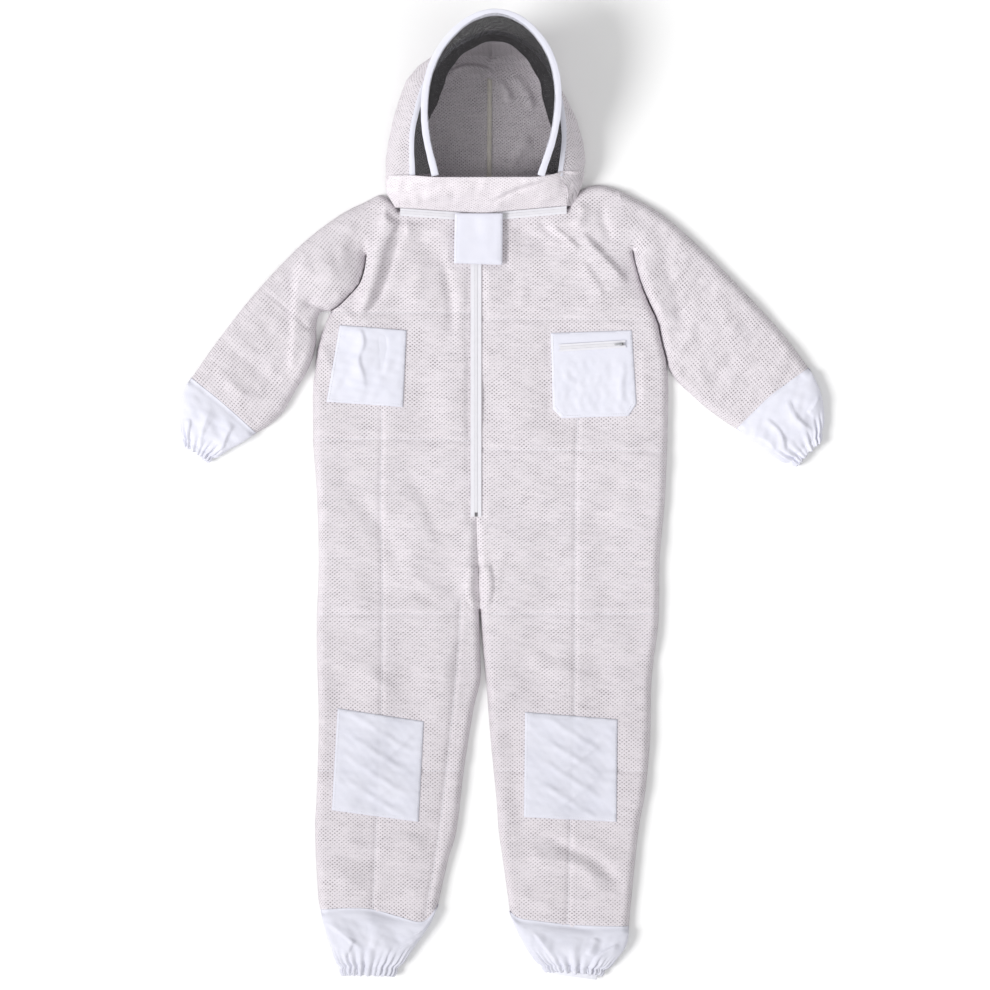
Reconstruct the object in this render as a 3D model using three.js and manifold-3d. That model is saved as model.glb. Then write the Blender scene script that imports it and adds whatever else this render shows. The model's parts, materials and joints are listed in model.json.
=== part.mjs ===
// A ventilated beekeeping suit with a fencing-veil hood, laid flat on its back on a floor.
// Millimetres. +Z points up out of the chest, +Y towards the head and +X to the wearer's left.
// The origin is on the floor, under the middle of the whole suit.
import * as THREE from "three";
import { mergeVertices } from "three/addons/utils/BufferGeometryUtils.js";
import Module from "manifold-3d";

const wasm = await Module();
wasm.setup();

// Heights of the layers, from the floor up.
const BACK_TOP = 4;
const GAP = 0.3;
const FRONT_TOP = 24;
const EDGE_ROUND = 5;
const TAPE_THICK = 1.3;
const CHAIN_THICK = 1.8;
const PATCH_THICK = 2.5;

// The centre line of the body, its zip and its neckline, a shallow V.
const ZIP_X = -48;
const ZIP_TOP = 519;
const ZIP_BOTTOM = -38;
const TAPE_WIDE = 7.5;
const CHAIN_WIDE = 5;
const NECK_POINT = [-40, 530];
const NECK_SLOPE = { right: -0.07, left: 0.09 };
const NECK_ENDS = { right: -192, left: 124 };
const NECK_TAPE_WIDE = 4.5;
const NECK_SLIDER_OUT = 26;

// The hips and shoulders, where a limb's round head turns in a round recess of the body.
const JOINT_GAP = 3;
const SHOULDER_R = 121;
const HIP_LINE = -110;
const LEG_TOP = -155;

// One side of the suit is "right" or "left" as its wearer says it.
const SIDES = {
  right: {
    sign: -1,
    shoulder: [-340, 480],
    shoulderTop: [-226, 588],
    hip: [-196, -190],
    hipR: 152,
    flank: [[-358, 345], [-358, 221], [-350, HIP_LINE]],
    sleeveTop: [[-307, 535], [-381, 478], [-463, 392], [-531, 307]],
    sleeveUnder: [[-444, 132], [-389, 193], [-375, 221], [-364, 260], [-364, 350]],
    wristSeam: [[-592, 221], [-471, 120]],
    outseam: [[-350, LEG_TOP], [-352, -292], [-355, -634], [-346, -776]],
    inseam: [[-123, -776], [-100, -691], [-71, -520], [-46, -349], [-46, LEG_TOP]],
    ankleSeam: [[-342, -786], [-130, -796]],
    wrist: { length: 95, middle: 45, middleHalf: 71, mouthHalf: 34, shift: 12 },
    ankle: { length: 119, middle: 60, middleHalf: 90, mouthHalf: 50, shift: -11 },
    knee: [[-311, -402], [-147, -427], [-157, -618], [-322, -596]],
    pocket: [[-307, 326], [-180, 316], [-187, 170], [-332, 180]],
  },
  left: {
    sign: 1,
    shoulder: [325, 480],
    shoulderTop: [166, 588],
    hip: [132, -190],
    hipR: 166,
    flank: [[316, 345], [316, 221], [303, HIP_LINE]],
    sleeveTop: [[307, 535], [373, 478], [459, 392], [537, 307]],
    sleeveUnder: [[430, 136], [394, 165], [331, 221], [322, 240], [322, 350]],
    wristSeam: [[586, 240], [453, 126]],
    outseam: [[298, LEG_TOP], [295, -292], [261, -634], [246, -776]],
    inseam: [[12, -776], [3, -691], [-20, -463], [-32, -349], [-33, LEG_TOP]],
    ankleSeam: [[14, -790], [240, -820]],
    wrist: { length: 117, middle: 60, middleHalf: 71, mouthHalf: 37, shift: 15 },
    ankle: { length: 106, middle: 50, middleHalf: 94, mouthHalf: 50, shift: 22 },
    knee: [[45, -409], [221, -423], [219, -618], [43, -609]],
    pocket: [[94, 311], [248, 316], [257, 176], [242, 153], [115, 149], [98, 166]],
  },
};

// Cuffs are flattened tubes with an elastic band in the mouth.
const CUFF_HALF_HIGH = 11;
const CUFF_WALL = 2.5;
const ELASTIC_THICK = 1.2;
const ELASTIC_WIDE = 10;

// The hood: a trough of cloth on the floor, a chin panel and two wire hoops with netting.
const HOOD_X = -31;
const HOOD_WALL = 3;
// Along the trough: distance up the body, half width, height of the rim.
const HOOD_STATIONS = [
  [556, 164, 26], [600, 183, 56], [645, 188, 70], [700, 183, 78],
  [760, 164, 86], [810, 138, 93], [850, 96, 98], [882, 6, 102],
];
const HOOD_ROUND = 0.75;
const CROWN_RAKE = 34;
const CHIN_RISE = 10;
const HOOP_Y = 608;
const WIRE_R = 1.6;
const BINDING_BORE_R = 2.3;
const HOOPS = {
  front: {
    x: -25, z: 97, slope: 0.3, lean: 0.045, bindingR: 7,
    half: [[100, 0], [120, 75], [126, 140], [117, 200], [92, 250], [50, 290], [0, 305]],
  },
  rear: {
    x: -29, z: 72, slope: 0.16, lean: 0.05, bindingR: 6,
    half: [[139, 0], [143, 70], [138, 115], [124, 170], [100, 212], [58, 250], [0, 268]],
  },
};
const NET_THICK = 1;

// The hook-and-loop flap over the place where the three zips meet.
const FLAP = { x0: -88, x1: 2, top: 538, bottom: 441, under: 33.5, thick: 2.2 };
const PAD = { wide: 22, tall: 60, inset: 8, thick: 1.2, y: 448 };

const SLIDER = { wide: 9, long: 13, thick: 3 };
const PULL = { wide: 6, long: 22, thick: 1.2, front: 2 };
const POCKET_ZIP = { start: [109, 282], end: [236, 290], wide: 10, slider: 0.6 };
const POCKET_SLOT = 5;
const POCKET_SKIN = 1.2;

const FINISHES = {
  airMesh: { color: 0xe2ddde, roughness: 0.95 },
  cotton: { color: 0xeeeef5, roughness: 0.85 },
  net: { color: 0x2b292c, roughness: 0.8 },
  zipTape: { color: 0xe9e6ea, roughness: 0.8 },
  coil: { color: 0xe0dde1, roughness: 0.45 },
  elastic: { color: 0xe6e4ea, roughness: 0.9 },
  hookLoop: { color: 0xe8e8ee, roughness: 0.9 },
  wire: { color: 0xb9bcc0, roughness: 0.35, metalness: 0.9 },
  slider: { color: 0x77757a, roughness: 0.4, metalness: 0.8 },
};

const suit = new THREE.Group();

function add(name, geometry, finish, parent = suit) {
  const mesh = new THREE.Mesh(geometry, new THREE.MeshStandardMaterial(FINISHES[finish]));
  mesh.name = name;
  parent.add(mesh);
  return mesh;
}

// An upright plate with the given outline, with its edges rounded off by "round".
function plate(points, bottom, top, round = 0) {
  const shape = new THREE.Shape(points.map(([x, y]) => new THREE.Vector2(x, y)));
  const geometry = new THREE.ExtrudeGeometry(shape, {
    depth: top - bottom - 2 * round,
    bevelEnabled: round > 0,
    bevelThickness: round,
    bevelSize: round,
    bevelOffset: -round,
    bevelSegments: 2,
  });
  return geometry.translate(0, 0, bottom + round);
}

function arc([cx, cy], r, from, to, steps) {
  return Array.from({ length: steps + 1 }, (_, i) => {
    const a = THREE.MathUtils.degToRad(from + ((to - from) * i) / steps);
    return [cx + r * Math.cos(a), cy + r * Math.sin(a)];
  });
}

function neckline(x) {
  const [px, py] = NECK_POINT;
  return py + (x - px) * (x < px ? NECK_SLOPE.right : NECK_SLOPE.left);
}

// A closed mesh from its points and triangles, turned so that its faces point outwards.
function closedMesh(positions, index) {
  const corner = (i) => new THREE.Vector3(...positions.slice(3 * index[i], 3 * index[i] + 3));
  let volume = 0;
  for (let i = 0; i < index.length; i += 3)
    volume += corner(i).dot(corner(i + 1).cross(corner(i + 2)));
  const geometry = new THREE.BufferGeometry();
  geometry.setAttribute("position", new THREE.Float32BufferAttribute(positions, 3));
  geometry.setIndex(volume > 0 ? index : index.toReversed());
  return geometry;
}

// Joins two equal grids of points into one closed thick skin. "outer" and "inner" take u and v
// from 0 to 1, and the four edges are walled.
function skin(outer, inner, stepsU, stepsV) {
  const positions = [];
  const index = [];
  const row = stepsU + 1;
  const count = row * (stepsV + 1);
  for (const surface of [outer, inner])
    for (let j = 0; j <= stepsV; j++)
      for (let i = 0; i <= stepsU; i++) positions.push(...surface(i / stepsU, j / stepsV));
  const quad = (a, b, c, d) => index.push(a, b, c, a, c, d);
  for (let j = 0; j < stepsV; j++)
    for (let i = 0; i < stepsU; i++) {
      const a = j * row + i;
      quad(a, a + 1, a + 1 + row, a + row);
      quad(count + a, count + a + row, count + a + 1 + row, count + a + 1);
    }
  const wall = (a, b) => quad(a, count + a, count + b, b);
  for (let i = 0; i < stepsU; i++) {
    wall(i, i + 1);
    wall(stepsV * row + i + 1, stepsV * row + i);
  }
  for (let j = 0; j < stepsV; j++) {
    wall((j + 1) * row, j * row);
    wall(j * row + stepsU, (j + 1) * row + stepsU);
  }
  return closedMesh(positions, index);
}

// A flattened tube with an open mouth. Each section is its distance along the axis, its
// sideways shift, half width and half height; the walls are "wall" thick.
function flatTube(sections, wall, sides = 20) {
  const rings = [...sections, ...sections.toReversed().map((s) => ({ ...s, cut: wall }))];
  const positions = [];
  const index = [];
  rings.forEach(({ along, shift, half, high, cut = 0 }) => {
    for (let i = 0; i < sides; i++) {
      const a = (2 * Math.PI * i) / sides;
      positions.push(shift + (half - cut) * Math.cos(a), along, (high - cut) * Math.sin(a));
    }
  });
  rings.forEach((_, j) => {
    const next = (j + 1) % rings.length;
    for (let i = 0; i < sides; i++) {
      const [a, b] = [j * sides + i, j * sides + ((i + 1) % sides)];
      const [c, d] = [next * sides + i, next * sides + ((i + 1) % sides)];
      index.push(a, c, b, b, c, d);
    }
  });
  return closedMesh(positions, index);
}

function solid(geometry) {
  const bare = geometry.index ? geometry.toNonIndexed() : geometry.clone();
  bare.deleteAttribute("normal");
  bare.deleteAttribute("uv");
  const merged = mergeVertices(bare, 1e-4);
  return new wasm.Manifold(new wasm.Mesh({
    numProp: 3,
    vertProperties: merged.attributes.position.array,
    triVerts: new Uint32Array(merged.index.array),
  }));
}

function subtract(geometry, tool) {
  const { vertProperties, triVerts } = solid(geometry).subtract(solid(tool)).getMesh();
  const result = new THREE.BufferGeometry();
  result.setAttribute("position", new THREE.Float32BufferAttribute(vertProperties, 3));
  result.setIndex(Array.from(triVerts));
  return result;
}

function box(x0, x1, y0, y1, z0, z1) {
  const geometry = new THREE.BoxGeometry(x1 - x0, y1 - y0, z1 - z0);
  return geometry.translate((x0 + x1) / 2, (y0 + y1) / 2, (z0 + z1) / 2);
}

// The body's outline on one side, from the neckline round to the crotch.
function bodyOutline({ sign, shoulder, shoulderTop, hip, hipR, flank }, side) {
  const shoulderArc = sign < 0
    ? arc(shoulder, SHOULDER_R, 43, -98, 12)
    : arc(shoulder, SHOULDER_R, 137, 265, 12);
  const reach = THREE.MathUtils.radToDeg(Math.asin((HIP_LINE - hip[1]) / hipR));
  const hipArc = sign < 0
    ? arc(hip, hipR, 180 - reach, reach, 12)
    : arc(hip, hipR, reach, 180 - reach, 12);
  const neckEnd = NECK_ENDS[side];
  const neck = [[ZIP_X, neckline(ZIP_X)], ...(sign < 0 ? [] : [NECK_POINT]), [neckEnd, neckline(neckEnd)]];
  return [...neck, shoulderTop, ...shoulderArc, ...flank, ...hipArc];
}

function addBody() {
  const outlines = {};
  for (const [side, s] of Object.entries(SIDES)) {
    outlines[side] = bodyOutline(s, side);
    const inner = ZIP_X + (s.sign * GAP) / 2;
    const outline = [[inner, neckline(inner)], ...outlines[side].slice(1), [inner, HIP_LINE]];
    const front = plate(outline, BACK_TOP + GAP, FRONT_TOP, EDGE_ROUND);
    add(`front_panel_${side}`, front, "airMesh");
  }
  const whole = [...outlines.right.slice(1), ...outlines.left.toReversed()];
  add("back_panel", plate(whole, 0, BACK_TOP), "airMesh");
}

function addLeg(side, { sign, hip, hipR, outseam, inseam, ankleSeam, knee }) {
  const head = sign < 0 ? arc(hip, hipR - JOINT_GAP, 28, 152, 12) : arc(hip, hipR - JOINT_GAP, 152, 28, 12);
  const outline = [...head, ...outseam, ...ankleSeam.toSorted((a, b) => sign * (b[0] - a[0])), ...inseam];
  add(`leg_front_${side}`, plate(outline, BACK_TOP + GAP, FRONT_TOP, EDGE_ROUND), "airMesh");
  add(`leg_back_${side}`, plate(outline, 0, BACK_TOP), "airMesh");
  add(`knee_patch_${side}`, plate(knee, FRONT_TOP + GAP, FRONT_TOP + GAP + PATCH_THICK), "cotton");
}

function addSleeve(side, { sign, shoulder, sleeveTop, sleeveUnder, wristSeam }) {
  const r = SHOULDER_R - JOINT_GAP;
  const head = sign < 0 ? arc(shoulder, r, -100, 40, 12) : arc(shoulder, r, 268, 140, 12);
  const outline = [...head, ...sleeveTop, ...wristSeam, ...sleeveUnder];
  add(`sleeve_${side}`, plate(outline, 0, FRONT_TOP, EDGE_ROUND), "airMesh");
}

// A cuff starts 1 mm past its seam and runs square to it, with its elastic in the mouth.
function addCuff(name, seam, sign, { length, middle, middleHalf, mouthHalf, shift }) {
  const [[ax, ay], [bx, by]] = seam;
  const across = new THREE.Vector2(bx - ax, by - ay);
  const cuff = new THREE.Group();
  cuff.position.set((ax + bx) / 2, (ay + by) / 2, CUFF_HALF_HIGH);
  cuff.rotation.z = Math.atan2(across.y, across.x) + (sign > 0 ? Math.PI : 0);
  suit.add(cuff);
  const high = CUFF_HALF_HIGH;
  const turned = sign > 0 ? -shift : shift;
  const sections = [
    { along: -1, shift: 0, half: across.length() / 2 - 1, high },
    { along: -middle, shift: turned / 3, half: middleHalf, high },
    { along: -length, shift: turned, half: mouthHalf, high: high - 1 },
  ];
  add(`${name}`, flatTube(sections, CUFF_WALL), "cotton", cuff);
  const slope = (middleHalf - mouthHalf) / (length - middle);
  const inset = CUFF_WALL + 2.5 * GAP;
  const band = [ELASTIC_WIDE, 0.5].map((back) => ({
    along: -length + back,
    shift: turned * (1 - back / length),
    half: mouthHalf - inset + slope * Math.max(back - 2, 0) * 0.6,
    high: high - 1 - inset,
  }));
  add(`${name.replace("cuff", "elastic")}`, flatTube(band, ELASTIC_THICK), "elastic", cuff);
}

function addPockets() {
  const bottom = FRONT_TOP + GAP;
  const patch = SIDES.right.pocket;
  const top = bottom + POCKET_SLOT + 2 * POCKET_SKIN;
  const slot = box(-322, -194, 186, 340, bottom + POCKET_SKIN, top - POCKET_SKIN);
  const turn = THREE.MathUtils.degToRad(-4.5);
  const [cx, cy] = [-252, 248];
  slot.translate(-cx, -cy, 0).rotateZ(turn).scale(0.88, 1, 1).translate(cx, cy, 0);
  add("patch_pocket", subtract(plate(patch, bottom, top), slot), "cotton");

  const zipTop = bottom + PATCH_THICK;
  add("zip_pocket", plate(SIDES.left.pocket, bottom, zipTop), "cotton");
  const zip = new THREE.Group();
  const [[x0, y0], [x1, y1]] = [POCKET_ZIP.start, POCKET_ZIP.end];
  const long = Math.hypot(x1 - x0, y1 - y0);
  zip.position.set(x0, y0, zipTop + GAP);
  zip.rotation.z = Math.atan2(y1 - y0, x1 - x0);
  suit.add(zip);
  const half = POCKET_ZIP.wide / 2;
  const chainHalf = CHAIN_WIDE / 2;
  const inner = chainHalf + GAP;
  add("pocket_zip_tape_upper", box(0, long, inner, half + 2, 0, TAPE_THICK), "zipTape", zip);
  add("pocket_zip_tape_lower", box(0, long, -half - 2, -inner, 0, TAPE_THICK), "zipTape", zip);
  add("pocket_zip_chain", box(2, long - 2, -chainHalf, chainHalf, 0, CHAIN_THICK), "coil", zip);
  addSlider("pocket_zip", zip, [long - 8, 0], 0, POCKET_ZIP.slider);
}

// A slider lies along its own +X, with a pull hinged at its front end and lying back over it.
function addSlider(name, parent, [x, y], turn, size = 1) {
  const slider = new THREE.Group();
  slider.position.set(x, y, CHAIN_THICK + GAP);
  slider.rotation.z = turn;
  parent.add(slider);
  const [wide, long] = [SLIDER.wide * size, SLIDER.long * size];
  const [pullWide, pullLong, front] = [PULL.wide * size, PULL.long * size, PULL.front * size];
  const { thick } = SLIDER;
  const body = plate([
    [long / 2, -wide / 2], [long / 2, wide / 2], [-long / 2, wide / 3], [-long / 2, -wide / 3],
  ], 0, thick, 0.6);
  add(`${name}_slider`, body, "slider", slider);
  const lift = thick + GAP;
  const outline = [...arc([-pullLong + pullWide / 2, 0], pullWide / 2, 90, 270, 8),
    [front, -pullWide / 3], [front, pullWide / 3]];
  add(`${name}_pull`, plate(outline, lift, lift + PULL.thick), "slider", slider);
}

function addMainZip() {
  const bottom = FRONT_TOP + GAP;
  const chainHalf = CHAIN_WIDE / 2;
  for (const [side, { sign }] of Object.entries(SIDES)) {
    const xs = [chainHalf + GAP, chainHalf + TAPE_WIDE].map((d) => ZIP_X + sign * d);
    const tape = box(Math.min(...xs), Math.max(...xs), ZIP_BOTTOM, ZIP_TOP, bottom, bottom + TAPE_THICK);
    add(`main_zip_tape_${side}`, tape, "zipTape");
  }
  const zip = new THREE.Group();
  zip.position.set(ZIP_X, 0, bottom);
  suit.add(zip);
  const chain = box(-chainHalf, chainHalf, ZIP_BOTTOM + 8, ZIP_TOP, 0, CHAIN_THICK);
  add("main_zip_chain", chain, "coil", zip);
  add("main_zip_stop", box(-chainHalf, chainHalf, ZIP_BOTTOM, ZIP_BOTTOM + 7, 0, 2.4), "slider", zip);
  addSlider("main_zip", zip, [0, ZIP_TOP - SLIDER.long], Math.PI / 2);
}

// The hood zip follows the neckline: one tape on the suit, the chain, and one tape on the hood.
function addNeckZip() {
  const bottom = FRONT_TOP + GAP;
  const chainHalf = CHAIN_WIDE / 2;
  const strip = (low, high, top) => {
    const xs = [NECK_ENDS.right, NECK_POINT[0], NECK_ENDS.left];
    const edge = (offset) => xs.map((x) => [x, neckline(x) + offset]);
    return plate([...edge(low), ...edge(high).toReversed()], bottom, bottom + top);
  };
  const inner = chainHalf + GAP;
  add("neck_zip_tape_suit", strip(-inner - NECK_TAPE_WIDE, -inner, TAPE_THICK), "zipTape");
  add("neck_zip_chain", strip(-chainHalf, chainHalf, CHAIN_THICK), "coil");
  add("neck_zip_tape_hood", strip(inner, inner + NECK_TAPE_WIDE, TAPE_THICK), "zipTape");
  const x = NECK_POINT[0] + NECK_SLIDER_OUT;
  const zip = new THREE.Group();
  zip.position.set(x, neckline(x), bottom);
  zip.rotation.z = Math.atan(NECK_SLOPE.left) + Math.PI;
  suit.add(zip);
  addSlider("neck_zip", zip, [0, 0], 0);
}

function addFlap() {
  const { x0, x1, top, bottom, under, thick } = FLAP;
  add("closure_flap", box(x0, x1, bottom, top, under, under + thick), "cotton");
  const loopTop = FRONT_TOP + GAP + 3;
  for (const [side, { sign }] of Object.entries(SIDES)) {
    const x = sign < 0 ? x0 + PAD.inset : x1 - PAD.inset - PAD.wide + 2;
    const pad = (low, high) => box(x, x + PAD.wide - 2, PAD.y, PAD.y + PAD.tall, low, high);
    add(`hook_pad_${side}`, pad(under - GAP - PAD.thick, under - GAP), "hookLoop");
    add(`loop_pad_${side}`, pad(FRONT_TOP + GAP, loopTop), "hookLoop");
  }
}

// A hoop's middle line in its own plane, from its right foot over the top to its left foot.
function hoopPoints({ x, slope, lean, half }, shrink = 0) {
  const stretch = Math.hypot(1, slope);
  const rightSide = half.map(([w, d]) => [x + lean * d - Math.max(w - shrink, 0), d * stretch]);
  const leftSide = half.slice(0, -1).map(([w, d]) => [x + lean * d + w - shrink, d * stretch]);
  return [...rightSide, ...leftSide.toReversed()];
}

function ring(r, holeR, sides = 8) {
  const circle = (radius) => arc([0, 0], radius, 0, 360 - 360 / sides, sides - 1)
    .map(([x, y]) => new THREE.Vector2(x, y));
  const shape = new THREE.Shape(circle(r));
  if (holeR) shape.holes.push(new THREE.Path(circle(holeR).toReversed()));
  return shape;
}

function addHoop(name, hoop) {
  const plane = new THREE.Group();
  plane.position.set(0, HOOP_Y, hoop.z);
  plane.rotation.x = Math.atan(hoop.slope);
  suit.add(plane);
  const path = new THREE.CatmullRomCurve3(hoopPoints(hoop).map(([x, y]) => new THREE.Vector3(x, y, 0)));
  const along = { steps: 44, bevelEnabled: false, extrudePath: path };
  const binding = new THREE.ExtrudeGeometry(ring(hoop.bindingR, BINDING_BORE_R), along);
  add(`${name}_hoop_binding`, binding, "cotton", plane);
  add(`${name}_hoop_wire`, new THREE.ExtrudeGeometry(ring(WIRE_R), along), "wire", plane);
  return plane;
}

function addFaceNet(plane) {
  const hoop = HOOPS.front;
  const rim = new THREE.CatmullRomCurve3(
    hoopPoints(hoop).map(([x, y]) => new THREE.Vector3(x, y, 0)));
  const middle = [hoop.x + 6, 150];
  const outline = rim.getPoints(32).map(({ x, y }) => {
    const away = new THREE.Vector2(x - middle[0], y - middle[1]);
    away.setLength(away.length() - hoop.bindingR - 2.5);
    return [middle[0] + away.x, middle[1] + away.y];
  });
  add("face_net", plate(outline, -NET_THICK / 2, NET_THICK / 2), "net", plane);
}

// The band of netting from the rear hoop to the front hoop.
function addSideNet() {
  const curve = (hoop) => new THREE.CatmullRomCurve3(hoopPoints(hoop).map(([x, y]) => {
    const d = y / Math.hypot(1, hoop.slope);
    return new THREE.Vector3(x, HOOP_Y + d, hoop.z + hoop.slope * d);
  }));
  const [rear, front] = [curve(HOOPS.rear), curve(HOOPS.front)];
  const middle = new THREE.Vector3(HOOD_X, 740, 0);
  const surface = (inset) => (u, v) => {
    const [a, b] = [rear.getPointAt(1 - u), front.getPointAt(1 - u)];
    const climb = b.clone().sub(a);
    const trim = (HOOPS.rear.bindingR + 2) / climb.length();
    const point = a.add(climb.multiplyScalar(trim + v * (1 - 2.4 * trim)));
    const inward = middle.clone().sub(point).setZ(0).setLength(inset);
    return point.add(inward).toArray();
  };
  add("side_net", skin(surface(0), surface(NET_THICK), 28, 2), "net");
}

// The hood's trough: a point at u across (right rim to left rim) and v up the body.
function hoodSurface(inset) {
  const spine = new THREE.CatmullRomCurve3(HOOD_STATIONS.map((p) => new THREE.Vector3(...p)));
  return (u, v) => {
    const { x: y, y: half, z: rim } = spine.getPoint(v);
    const a = Math.PI * (1 - u);
    const side = Math.sign(Math.cos(a)) * Math.abs(Math.cos(a)) ** HOOD_ROUND;
    const deep = Math.abs(Math.sin(a)) ** HOOD_ROUND;
    const low = inset;
    const rake = CROWN_RAKE * v ** 3 * deep;
    return [HOOD_X + (half - inset) * side, y - rake - inset * v ** 4, rim - (rim - low) * deep];
  };
}

function addHood() {
  add("hood_shell", skin(hoodSurface(HOOD_WALL), hoodSurface(0), 24, 16), "airMesh");
  const chin = (lift) => (u, v) => {
    const side = 2 * u - 1;
    const bottom = neckline(HOOD_X + 150 * side) + CHIN_RISE;
    const half = 150 - 16 * v;
    const crest = 68 * v - 26 * v * Math.abs(side) ** 3;
    return [HOOD_X + half * side, bottom + (HOOP_Y - 9 - bottom) * v, 27.5 + crest + lift];
  };
  add("chin_panel", skin(chin(HOOD_WALL), chin(0), 16, 4), "airMesh");
}

addBody();
for (const [side, s] of Object.entries(SIDES)) {
  addLeg(side, s);
  addSleeve(side, s);
  addCuff(`wrist_cuff_${side}`, s.wristSeam, s.sign, s.wrist);
  addCuff(`ankle_cuff_${side}`, s.ankleSeam, -1, s.ankle);
}
addPockets();
addMainZip();
addNeckZip();
addFlap();
addHoop("rear", HOOPS.rear);
addFaceNet(addHoop("front", HOOPS.front));
addSideNet();
addHood();

export default suit;
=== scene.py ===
"""A ventilated beekeeping suit with a fencing-veil hood, lying flat on its back on a pale floor.

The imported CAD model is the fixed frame. Lengths below are in millimetres of that frame unless a
name says otherwise; every mesh is turned into metres as it is made. The wearer's right is at -X.
"""
import json
import math

import bpy
import numpy as np
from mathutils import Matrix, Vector, geometry


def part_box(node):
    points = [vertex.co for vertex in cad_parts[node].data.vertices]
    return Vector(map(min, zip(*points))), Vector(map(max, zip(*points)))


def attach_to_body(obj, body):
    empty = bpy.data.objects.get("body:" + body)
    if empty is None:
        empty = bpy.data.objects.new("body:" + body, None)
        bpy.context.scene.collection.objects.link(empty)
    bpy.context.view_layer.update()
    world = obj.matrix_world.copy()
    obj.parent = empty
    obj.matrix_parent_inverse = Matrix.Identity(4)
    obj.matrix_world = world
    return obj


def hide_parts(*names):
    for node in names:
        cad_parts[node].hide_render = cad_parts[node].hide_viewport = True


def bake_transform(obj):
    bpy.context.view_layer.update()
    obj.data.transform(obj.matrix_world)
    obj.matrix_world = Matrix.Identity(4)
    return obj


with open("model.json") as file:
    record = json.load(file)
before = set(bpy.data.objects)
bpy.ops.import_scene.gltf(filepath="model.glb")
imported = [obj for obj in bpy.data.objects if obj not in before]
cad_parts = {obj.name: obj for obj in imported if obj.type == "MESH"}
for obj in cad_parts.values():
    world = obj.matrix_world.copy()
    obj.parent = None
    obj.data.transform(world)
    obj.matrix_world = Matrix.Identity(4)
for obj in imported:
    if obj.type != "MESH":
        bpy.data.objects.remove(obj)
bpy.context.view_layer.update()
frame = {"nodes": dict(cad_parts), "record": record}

MM = 0.001

# ---------------------------------------------------------------- heights and shared sizes
LOFT = 23.0            # top of the flat cloth at its middle
LIP = 5.0              # height of a cloth body's outermost edge
SOLE = 0.8             # underside of the cloth
BODY_EDGE = 15.0       # how far in from an edge the cloth is still rounding over
SLEEVE_EDGE = 17.0
CLOTH_STEP = 4.2       # size of the cloth's triangles, and of a patch's
PATCH_STEP = 3.2
ZIP_X = -48.0          # the front zip
WAIST_Y = 105.0        # the waist seam
SEAM_GAP = 0.2         # half the gap left between two cloths where they are sewn together
NECK_RISE = 4          # how far the body's cloth runs up past the middle of the neck zip
HOOP_FOOT_Y = 608      # both hoops stand here
QUILT_DEPTH = 2.3
QUILT_WIDTH = 4.6
FAR = 1e9              # further away than anything


# ---------------------------------------------------------------- curves and outlines
def lengths(path):
    """The distance along a path at each of its points."""
    return np.concatenate([[0], np.cumsum(np.linalg.norm(np.diff(path, axis=0), axis=1))])


def sampled(path, at, places):
    """Points on a path, when "places" says where along it each of its own points lies."""
    return np.stack([np.interp(at, places, path[:, k]) for k in range(path.shape[1])], axis=1)


def smooth(points, step=CLOTH_STEP):
    """A Catmull-Rom curve through a few points, sampled evenly, both ends included."""
    p = np.asarray(points, float)
    if len(p) == 2:
        n = max(1, round(np.linalg.norm(p[1] - p[0]) / step))
        return p[0] + (p[1] - p[0]) * np.linspace(0, 1, n + 1)[:, None]
    p = np.vstack([2 * p[0] - p[1], p, 2 * p[-1] - p[-2]])
    t = np.linspace(0, 1, 24, endpoint=False)[:, None]
    parts = []
    for a, b, c, d in zip(p, p[1:], p[2:], p[3:]):
        parts.append(0.5 * (2 * b + (c - a) * t + (2 * a - 5 * b + 4 * c - d) * t ** 2
                            + (3 * b - a - 3 * c + d) * t ** 3))
    fine = np.vstack([*parts, p[-2][None]])
    along = lengths(fine)
    n = max(2, round(along[-1] / step))
    at = np.linspace(0, along[-1], n + 1)
    return sampled(fine, at, along)


def nearest(points, path):
    """For each point: distance to a path, side (left of travel positive), share along, offset from it."""
    path = np.asarray(path, float)
    starts, spans, before = path[:-1], np.diff(path, axis=0), lengths(path)
    long = np.linalg.norm(spans, axis=1)
    best = np.full(len(points), FAR)
    side = np.ones(len(points))
    share = np.zeros(len(points))
    away = np.zeros((len(points), 2))
    for start, span, length, base in zip(starts, spans, long, before):
        rel = points - start
        t = np.clip(rel @ span / length ** 2, 0, 1)
        off = rel - t[:, None] * span
        dist = np.hypot(off[:, 0], off[:, 1])
        closer = dist < best
        best[closer] = dist[closer]
        side[closer] = np.sign(span[0] * rel[closer, 1] - span[1] * rel[closer, 0])
        share[closer] = (base + t[closer] * length) / before[-1]
        away[closer] = off[closer]
    return best, side, share, away


def inside(points, outline):
    """Which points lie inside a closed outline."""
    x, y = points[:, 0], points[:, 1]
    result = np.zeros(len(points), bool)
    for (x0, y0), (x1, y1) in zip(outline, np.roll(outline, -1, axis=0)):
        crosses = (y0 > y) != (y1 > y)
        if y1 != y0:
            result ^= crosses & (x < (x1 - x0) * (y - y0) / (y1 - y0) + x0)
    return result


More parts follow.
